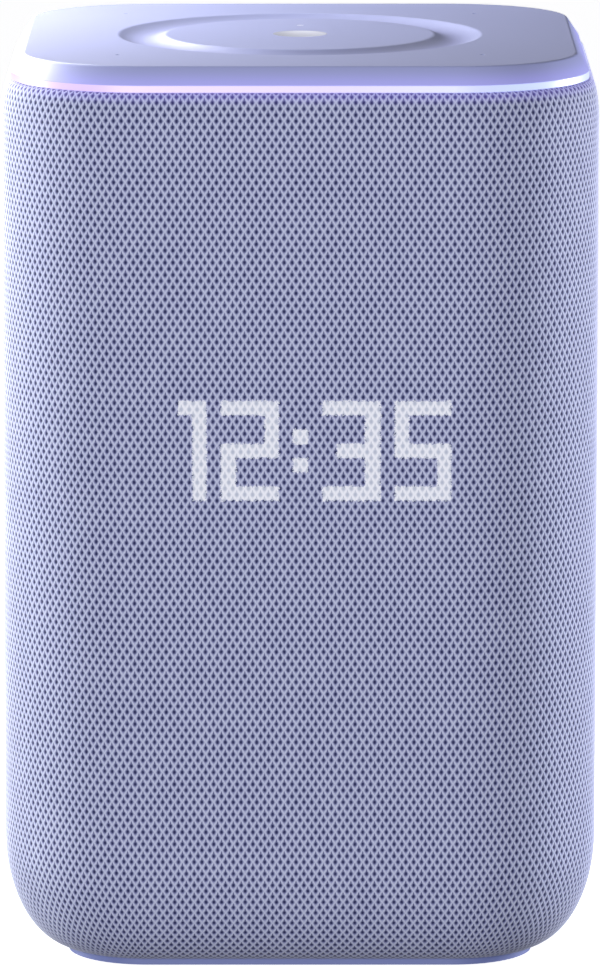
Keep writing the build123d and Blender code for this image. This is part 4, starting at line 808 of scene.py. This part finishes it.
@dataclass(frozen=True)
class KnitFinish:
    """Polyester warp knit: pale twisted yarn round small dark holes, with a soft fibre sheen.

    Attributes:
        yarn: colour of the raised yarn.
        yarn_dip_shade: colour where it dips, darker there as painted shade of the knit's relief.
        hole: colour seen through the holes, the dark shell behind them with painted shade of their depth.
        lit_base: colour of the yarn under a lit clock cell's own light.
        lit_yarn: what a lit clock cell gives on the yarn.
        lit_hole: and in the holes.
        painted_ring_glow: colour of the painted glow that the light ring casts on the first rows.
        ring_reach: how far down that painted glow goes.
        painted_ring_glow_share: how strong it is next to the ring.
        light: strength of the clock's light and of the ring's painted glow.
        holes: the drop and the narrow slit above it.
        blur: how softly the drop and the slit run together.
        wall: distances at which the yarn rises from a hole.
        strand: half widths of a strand's crest and of its foot, in columns.
        strand_share: how much the strands stand out, after how high the cloth between them is.
        clock: rows of the clock's dots, from the top, with # for a lit one.
    """

    yarn: str = "cdd2e8"
    yarn_dip_shade: str = "8f94bd"
    hole: str = "2c3058"
    lit_base: str = "3a3c46"
    lit_yarn: str = "f4f5ff"
    lit_hole: str = "b6bccf"
    painted_ring_glow: str = "8f7cf0"
    ring_reach: float = 3.2 * MM
    painted_ring_glow_share: float = 0.33
    light: float = 0.86
    holes: tuple[Hole, ...] = (Hole((0.5, 0.5), (3.9, 4.6)), Hole((0.5, 0.75), (8.0, 3.1), 0.42))
    blur: float = 0.2
    wall: tuple[float, float] = (0.3, 1.3)
    strand: tuple[float, float] = (0.02, 0.26)
    strand_share: tuple[float, float] = (0.3, 0.62)
    clock: tuple[str, ...] = (
        "..##.####...####.####",
        "...#....#......#.#...",
        "...#....#.#....#.#...",
        "...#.####....###.####",
        "...#.#....#....#....#",
        "...#.#.........#....#",
        "...#.####...####.####",
    )

    def build(self, glow_top: float, clock_middle: float, cell: float) -> bpy.types.Material:
        """Makes the knit with the clock shining through it.

        Args:
            glow_top: height of the light ring's lower edge.
            clock_middle: height of the clock's middle.
            cell: distance between the clock's dots.

        Returns:
            The material.
        """
        tree = Tree("polyester_warp_knit")
        uv = tree.add("UVMap", {"uv_map": "knit"})
        weave = self.weave(tree, uv)
        # Seven fibres to a column of 1.8 mm, and cloudy patches of three to four columns.
        fine = tree.add("TexNoise", None, {"Vector": uv, "Scale": 7.0, "Detail": 2.0})
        cloud = tree.add("TexNoise", None, {"Vector": uv, "Scale": 0.3, "Detail": 3.0})
        fibre = tree.add("Math", TIMES_PLUS, (fine, 0.3, -0.22))
        uneven = tree.add("Math", TIMES_PLUS, (cloud, 0.14, fibre))
        tone = tree.add("Math", ADD, (weave, uneven))
        # Painted shade and highlight: the colour follows the knit's height, so the yarn darkens into its
        # dips and holes and lightens along the strand crests; the holes also show the dark shell behind.
        relief_shade_stops = [(0.0, linear(self.hole)), (0.5, linear(self.yarn_dip_shade)), (0.95, linear(self.yarn))]
        colour = tree.add("ValToRGB", {"stops": (Interpolation.BLENDED, relief_shade_stops)}, {"Fac": tone})
        place = tree.add("TexCoord", out="Object")
        lit = self.clock_mask(tree, place, clock_middle, cell)
        lit_colour = tree.add("Mix", TWO_COLOURS, {
            0: weave, 6: linear(self.lit_hole), 7: linear(self.lit_yarn)}, out=2)
        z = tree.add("SeparateXYZ", None, (place,), out=2)
        # Painted glow: the knit's own emission, fading down from the light ring's lower edge, stands in for
        # the ring's light on the first rows.
        painted_glow_fade = tree.add("MapRange", EASED, (z, glow_top - self.ring_reach, glow_top, 0.0,
                                                 self.painted_ring_glow_share))
        glow = tree.add("Mix", TWO_COLOURS, {0: painted_glow_fade, 6: BLACK, 7: linear(self.painted_ring_glow)}, out=2)
        shine = tree.add("Mix", TWO_COLOURS, {0: lit, 6: glow, 7: lit_colour}, out=2)
        base = tree.add("Mix", TWO_COLOURS, {0: lit, 6: colour, 7: linear(self.lit_base)}, out=2)
        bump = tree.add("Bump", None, {"Strength": 0.5, "Distance": 0.3 * MM, "Height": tone})
        return tree.finish(tree.add("BsdfPrincipled", None, {
            "Base Color": base, "Roughness": 0.82, "Normal": bump, "Sheen Weight": 0.3,
            "Sheen Roughness": 0.4, "Sheen Tint": linear("f4f6ff"), "Specular IOR Level": 0.25,
            "Emission Color": shine, "Emission Strength": self.light}))

    def weave(self, tree: Tree, uv: bpy.types.NodeSocket) -> bpy.types.NodeSocket:
        """Height of the yarn, from 0 in a hole to 1 on a crossing.

        The columns are one apart in U, and every second row is one apart in V. A hole is a drop
        with a narrow slit above it, and the rows between are moved half a column.

        Args:
            tree: the material's tree.
            uv: the place on the cloth.

        Returns:
            The height.
        """
        low: bpy.types.NodeSocket | None = None
        for offset in ((0.5, 0.5, 0.0), (0.0, 0.0, 0.0)):
            moved = tree.add("VectorMath", ADD, (uv, offset))
            cell = tree.add("VectorMath", {"operation": "FRACTION"}, (moved,))
            for hole in self.holes:
                local = tree.add("VectorMath", TAKE, (cell, (*hole.middle, 0.0)))
                scaled = tree.add("VectorMath", TIMES, (local, (*hole.stretch, 1.0)))
                away = tree.add("VectorMath", LENGTH, (scaled,), out=1)
                far = tree.add("Math", ADD, (away, hole.shallow))
                low = far if low is None else tree.add("Math", {"operation": "SMOOTH_MIN"},
                                                       (low, far, self.blur))
        weave = tree.add("MapRange", EASED, (low, *self.wall))
        u, v = (tree.add("SeparateXYZ", None, (uv,), out=axis) for axis in range(2))
        strands: list[bpy.types.NodeSocket] = []
        for slant in (ADD, TAKE):
            part = tree.add("Math", {"operation": "FRACT"}, (tree.add("Math", slant, (u, v)),))
            across = tree.add("Math", {"operation": "ABSOLUTE"}, (tree.add("Math", TAKE, (part, 0.5)),))
            strands.append(tree.add("MapRange", EASED, (across, *self.strand, 1.0, 0.0)))
        crest = tree.add("Math", {"operation": "MAXIMUM"}, tuple(strands))
        return tree.add("Math", TIMES, (weave, tree.add("Math", TIMES_PLUS, (crest, *self.strand_share))))

    def clock_mask(self, tree: Tree, place: bpy.types.NodeSocket, middle: float,
                   cell: float) -> bpy.types.NodeSocket:
        """One where a lit dot shines through the front, and nothing elsewhere.

        Args:
            tree: the material's tree.
            place: the point in space.
            middle: height of the clock's middle.
            cell: distance between dots.

        Returns:
            The mask.
        """
        x, y, z = (tree.add("SeparateXYZ", None, (place,), out=axis) for axis in range(3))
        width, count = len(self.clock[0]), len(self.clock)
        # The yarn scatters the light, so the dots' edges wander by a quarter of a dot.
        fuzz = tree.add("TexNoise", None, {"Vector": place, "Scale": 1 / (0.35 * MM), "Detail": 1.0}, out=1)
        fuzz_x, fuzz_z = (tree.add("SeparateXYZ", None, (fuzz,), out=axis) for axis in (0, 2))
        soft = 0.5 / width
        share = tree.add("Math", ADD, (
            tree.add("Math", TIMES_PLUS, (x, 1 / (cell * width), 0.5 - soft / 2)),
            tree.add("Math", TIMES, (fuzz_x, soft))))
        down = tree.add("Math", ADD, (
            tree.add("Math", TIMES_PLUS, (z, -1 / cell, middle / cell + count / 2 - 0.25)),
            tree.add("Math", TIMES, (fuzz_z, 0.5))))
        total: bpy.types.NodeSocket | float = 0.0
        for number, row in enumerate(self.clock):
            changes = [k for k in range(width) if k == 0 or row[k] != row[k - 1]]
            stops = [(k / width, (float(row[k] == "#"),) * 3 + (1.0,)) for k in changes]
            dots = tree.add("ValToRGB", {"stops": (Interpolation.STEPPED, stops)}, {"Fac": share})
            gate = tree.add("Math", {"operation": "COMPARE"}, (down, number + 0.5, 0.5))
            total = tree.add("Math", TIMES_PLUS, (dots, gate, total))
        within = tree.add("Math", {"operation": "COMPARE"}, (share, 0.5, 0.499))
        front = tree.add("Math", TIMES, (tree.add("Math", {"operation": "LESS_THAN"}, (y, 0.0)), within))
        return tree.add("Math", TIMES, (tree.add("Math", {"operation": "MINIMUM"}, (total, 1.0)), front))


@dataclass(frozen=True)
class CoverFinish:
    """Satin ABS from a fine-etched mould: even and lilac, with a painted glow of the light ring along its
    lower edge.

    Attributes:
        colour: the moulded plastic.
        dimple: the polished dimple.
        glow: colour of the painted glow from the light ring.
        painted_glow_share: how strong that is next to the ring.
        roughness: lowest and highest, off the dimple.
        polish: how much smoother the dimple is.
    """

    colour: str = "b3b9e6"
    dimple: str = "e9ebfa"
    glow: str = "8b78ea"
    painted_glow_share: float = 0.3
    roughness: tuple[float, float] = (0.36, 0.42)
    polish: float = 0.2

    def build(self, ring_top: float, high: float, dimple: float) -> bpy.types.Material:
        """Makes the cover's material.

        Args:
            ring_top: height of the light ring's upper edge.
            high: height of the cover's flat top.
            dimple: radius of the polished dimple.

        Returns:
            The material.
        """
        tree = Tree("abs_satin_moulded_cover")
        place = tree.add("TexCoord", out="Object")
        z = tree.add("SeparateXYZ", None, (place,), out=2)
        # Painted glow: the cover's own emission, fading up from the light ring, stands in for the ring's
        # light on the sloped rim.
        near = tree.add("MapRange", EASED, (z, ring_top, high - 0.4 * MM, self.painted_glow_share, 0.0))
        glow = tree.add("Mix", TWO_COLOURS, {0: near, 6: BLACK, 7: linear(self.glow)}, out=2)
        # Patches about 33 mm across, where the mould's etching is a little finer or coarser.
        cloud = tree.add("TexNoise", None, {"Vector": place, "Scale": 30.0, "Detail": 4.0})
        base = linear(self.colour)
        satin = tree.add("Mix", TWO_COLOURS, {0: cloud, 6: shade(base, 0.98), 7: base}, out=2)
        flat = tree.add("VectorMath", TIMES, (place, (1.0, 1.0, 0.0)))
        reach = tree.add("VectorMath", LENGTH, (flat,), out=1)
        polished = tree.add("MapRange", None, (reach, dimple + 0.1 * MM, dimple, 0.0, 1.0))
        colour = tree.add("Mix", TWO_COLOURS, {0: polished, 6: satin, 7: linear(self.dimple)}, out=2)
        etched = tree.add("TexNoise", None, {"Vector": place, "Scale": 1 / (0.4 * MM), "Detail": 2.0})
        bump = tree.add("Bump", None, {"Strength": 0.35, "Distance": 0.012 * MM, "Height": etched})
        satin_rough = tree.add("MapRange", None, {0: cloud, 3: self.roughness[0], 4: self.roughness[1]})
        rough = tree.add("Math", TIMES_PLUS, (polished, -self.polish, satin_rough))
        return tree.finish(tree.add("BsdfPrincipled", None, {
            "Base Color": colour, "Roughness": rough, "IOR": 1.5, "Normal": bump,
            "Emission Color": glow, "Emission Strength": 1.0}))


@dataclass(frozen=True)
class RingFinish:
    """Milky polycarbonate over lamps: pink at the left, lilac in front, blue-white at the right.

    Attributes:
        left: light of the lamps at the left.
        middle: light of those in the middle.
        right: light of those at the right.
        base: the plastic itself.
        light: strength of the lamps.
    """

    left: str = "f0d4ff"
    middle: str = "dacefc"
    right: str = "d6e8ff"
    base: str = "6a6488"
    light: float = 0.8

    def build(self, half: float) -> bpy.types.Material:
        """Makes the ring's material.

        Args:
            half: half the ring's width.

        Returns:
            The material.
        """
        tree = Tree("polycarbonate_milky_light_ring")
        place = tree.add("TexCoord", out="Object")
        x = tree.add("SeparateXYZ", None, (place,), out=0)
        share = tree.add("MapRange", None, (x, -half, half))
        # The lamps stand about 17 mm apart, and the milky plastic all but hides them.
        lamps = tree.add("TexNoise", None, {"Vector": place, "Scale": 60.0, "Detail": 1.0})
        uneven = tree.add("Math", TIMES_PLUS, (lamps, 0.16, -0.08))
        stops = [(0.12, linear(self.left)), (0.55, linear(self.middle)), (0.9, linear(self.right))]
        colour = tree.add("ValToRGB", {"stops": (Interpolation.BLENDED, stops)},
                          {"Fac": tree.add("Math", ADD, (share, uneven))})
        return tree.finish(tree.add("BsdfPrincipled", None, {
            "Base Color": linear(self.base), "Roughness": 0.35, "IOR": 1.58,
            "Emission Color": colour, "Emission Strength": self.light}))


@dataclass(frozen=True)
class SoftLight:
    """A rectangular soft light that the camera doesn't see.

    Attributes:
        name: its name.
        place: its centre.
        aim: the point that it faces.
        size: its width and height.
        power: watts.
        colour: sRGB hex.
    """

    name: str
    place: tuple[float, float, float]
    aim: tuple[float, float, float]
    size: tuple[float, float]
    power: float
    colour: str = "ffffff"

    def add(self) -> None:
        """Adds the light to the scene."""
        data = bpy.data.lights.new(self.name, "AREA")
        data.shape = "RECTANGLE"
        data.size, data.size_y = self.size
        data.energy = self.power
        data.color = linear(self.colour)[:3]
        light = bpy.data.objects.new(self.name, data)
        light.location = self.place
        light.rotation_euler = (Vector(self.aim) - Vector(self.place)).to_track_quat("-Z", "Y").to_euler()
        light.visible_camera = False
        bpy.context.scene.collection.objects.link(light)


# Light falls from the back left over the cover, and the two rim lights edge the column.
SOFT_LIGHTS = (
    SoftLight("key", (-0.2, 0.3, 0.35), (-0.02, 0.0, 0.215), (0.2, 0.2), 1.0),
    SoftLight("near_left", (-0.13, 0.05, 0.305), (-0.02, 0.0, 0.215), (0.12, 0.12), 0.27),
    SoftLight("low_left", (-0.27, 0.1, 0.3), (-0.03, 0.0, 0.215), (0.16, 0.12), 0.85),
    SoftLight("back", (0.0, 0.25, 0.4), (0.0, 0.0, 0.215), (0.3, 0.2), 0.12),
    SoftLight("front", (-0.25, -1.33, 0.22), (0.0, 0.0, 0.1), (1.0, 0.6), 16.6, "f6f6ff"),
    SoftLight("rim_left", (-0.5, 0.1, 0.09), (0.0, 0.0, 0.09), (0.15, 0.26), 3.1),
    SoftLight("rim_right", (0.5, 0.14, 0.08), (0.0, 0.0, 0.08), (0.15, 0.24), 4.4, "f2f3ff"),
)


@dataclass
class Studio:
    """Pale floor, soft light and the camera.

    Attributes:
        eye: the camera's place.
        pitch: how far it looks down, in degrees.
        lens: its focal length, in millimetres.
        sensor: its sensor's width, in millimetres.
        rise: its vertical shift.
        sky: colour of the light from all round.
        sky_strength: how strong that is on the speaker.
        floor_radius: radius of the floor.
        floor_light: how much the floor shines by itself, which keeps it white.
    """

    eye: tuple[float, float, float] = (0.0, -1.862, 0.4309)
    pitch: float = 9.55
    lens: float = 291.5
    sensor: float = 36.0
    rise: float = -0.05
    sky: str = "eef0ff"
    sky_strength: float = 0.06
    floor_radius: float = 3.0
    floor_light: float = 0.93

    def build(self) -> None:
        """Sets up the camera, the floor and the light."""
        scene = bpy.context.scene
        scene.view_settings.view_transform = "Standard"
        data = bpy.data.cameras.new("camera")
        data.lens, data.sensor_width, data.shift_y = self.lens, self.sensor, self.rise
        data.clip_start, data.clip_end = 0.01, 50.0
        camera = bpy.data.objects.new("camera", data)
        camera.location = self.eye
        camera.rotation_euler = (math.radians(90 - self.pitch), 0, 0)
        scene.collection.objects.link(camera)
        scene.camera = camera
        self.light_world(scene)
        self.add_floor()
        for light in SOFT_LIGHTS:
            light.add()

    def light_world(self, scene: bpy.types.Scene) -> None:
        """Puts white behind the object, and softer light from it on the object.

        Args:
            scene: the scene that gets the world.
        """
        world = bpy.data.worlds.new("studio")
        world.use_nodes = True
        nodes, links = world.node_tree.nodes, world.node_tree.links
        nodes.clear()
        path = nodes.new("ShaderNodeLightPath")
        soft, white = nodes.new("ShaderNodeBackground"), nodes.new("ShaderNodeBackground")
        soft.inputs["Color"].default_value = linear(self.sky)
        soft.inputs["Strength"].default_value = self.sky_strength
        white.inputs["Color"].default_value = (1, 1, 1, 1)
        mix, out = nodes.new("ShaderNodeMixShader"), nodes.new("ShaderNodeOutputWorld")
        sources = (path.outputs["Is Camera Ray"], soft.outputs[0], white.outputs[0])
        for number, socket in enumerate(sources):
            links.new(socket, mix.inputs[number])
        links.new(mix.outputs[0], out.inputs["Surface"])
        scene.world = world

    def add_floor(self) -> None:
        """Adds the pale floor that the speaker stands on."""
        bm = bmesh.new()
        bmesh.ops.create_circle(bm, cap_ends=True, segments=96, radius=self.floor_radius)
        tree = Tree("painted_floor_white")
        place = tree.add("TexCoord", out="Object")
        cloud = tree.add("TexNoise", None, {"Vector": place, "Scale": 4.0, "Detail": 3.0})
        colour = tree.add("Mix", TWO_COLOURS, {0: cloud, 6: linear("fafafc"), 7: linear("fdfdff")}, out=2)
        paint = tree.finish(tree.add("BsdfPrincipled", None, {
            "Base Color": colour, "Roughness": 0.7, "Emission Color": linear("ffffff"),
            "Emission Strength": self.floor_light}))
        floor = mesh_object(bm, "floor", paint, smooth=False)
        # The floor throws no light back, so the speaker's foot stays as dark as its sides.
        floor.visible_diffuse = floor.visible_glossy = False


@dataclass
class SmartSpeaker:
    """The whole speaker: the outside pieces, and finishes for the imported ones.

    Attributes:
        frame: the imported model.
        column: the outside pieces' shared shape.
    """

    frame: dict
    column: Column

    def wear(self, piece: bpy.types.Object, node: str) -> None:
        """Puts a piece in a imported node's stead, on the housing.

        Args:
            piece: the new piece.
            node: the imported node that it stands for.
        """
        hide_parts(node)
        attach(piece, HOUSING)
        LOG.info("%s stands for %s", piece.name, node)

    def add_sleeve(self) -> None:
        """Adds the knitted sleeve, with the clock behind it."""
        low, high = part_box("fabric_sleeve")
        lamps_low, lamps_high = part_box("display_leds")
        cell = (lamps_high.x - lamps_low.x) / (len(KnitFinish.clock[0]) - 1 + LAMP_SHARE)
        knit = KnitFinish().build(high.z, (lamps_low.z + lamps_high.z) / 2, cell)
        port_low, port_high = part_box("rear_port_panel")
        sleeve = KnittedSleeve(self.column, low.z, high.z, (port_low.z + port_high.z) / 2)
        piece = sleeve.build(knit)
        self.wear(piece, "fabric_sleeve")

    def add_cover(self) -> None:
        """Adds the moulded cover."""
        low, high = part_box("top_cap")
        ring_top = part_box("light_ring")[1].z
        cover = MouldedCap(self.column, ring_top, high.z, low.z)
        finish = CoverFinish().build(ring_top, high.z, cover.dimple[0])
        self.wear(cover.build(finish), "top_cap")

    def dress_nodes(self) -> None:
        """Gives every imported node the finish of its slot."""
        finishes = {slot: finish.build() for slot, finish in PLAIN_FINISHES.items()}
        finishes["light_ring"] = RingFinish().build(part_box("light_ring")[1].x)
        # The two nodes that new pieces stand for are hidden, and take a neighbour's finish.
        hidden = {"knit_fabric": "shell_plastic", "cover_plastic": "base_plastic"}
        for row in self.frame["record"]["subparts"]:
            slot = row["material_slot"]
            node = self.frame["nodes"][row["node"]]
            node.data.materials.clear()
            node.data.materials.append(finishes[hidden.get(slot, slot)])
            LOG.info("%s is dressed as %s", row["node"], slot)


def main() -> None:
    """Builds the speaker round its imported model."""
    logging.basicConfig(level=logging.INFO, format="%(name)s: %(message)s")
    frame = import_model()
    low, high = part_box("fabric_sleeve")
    column = Column(half=(high.x - low.x) / 2, corner=CORNER)
    Studio().build()
    speaker = SmartSpeaker(frame, column)
    speaker.add_sleeve()
    speaker.add_cover()
    speaker.dress_nodes()


if __name__ == "__main__":
    main()
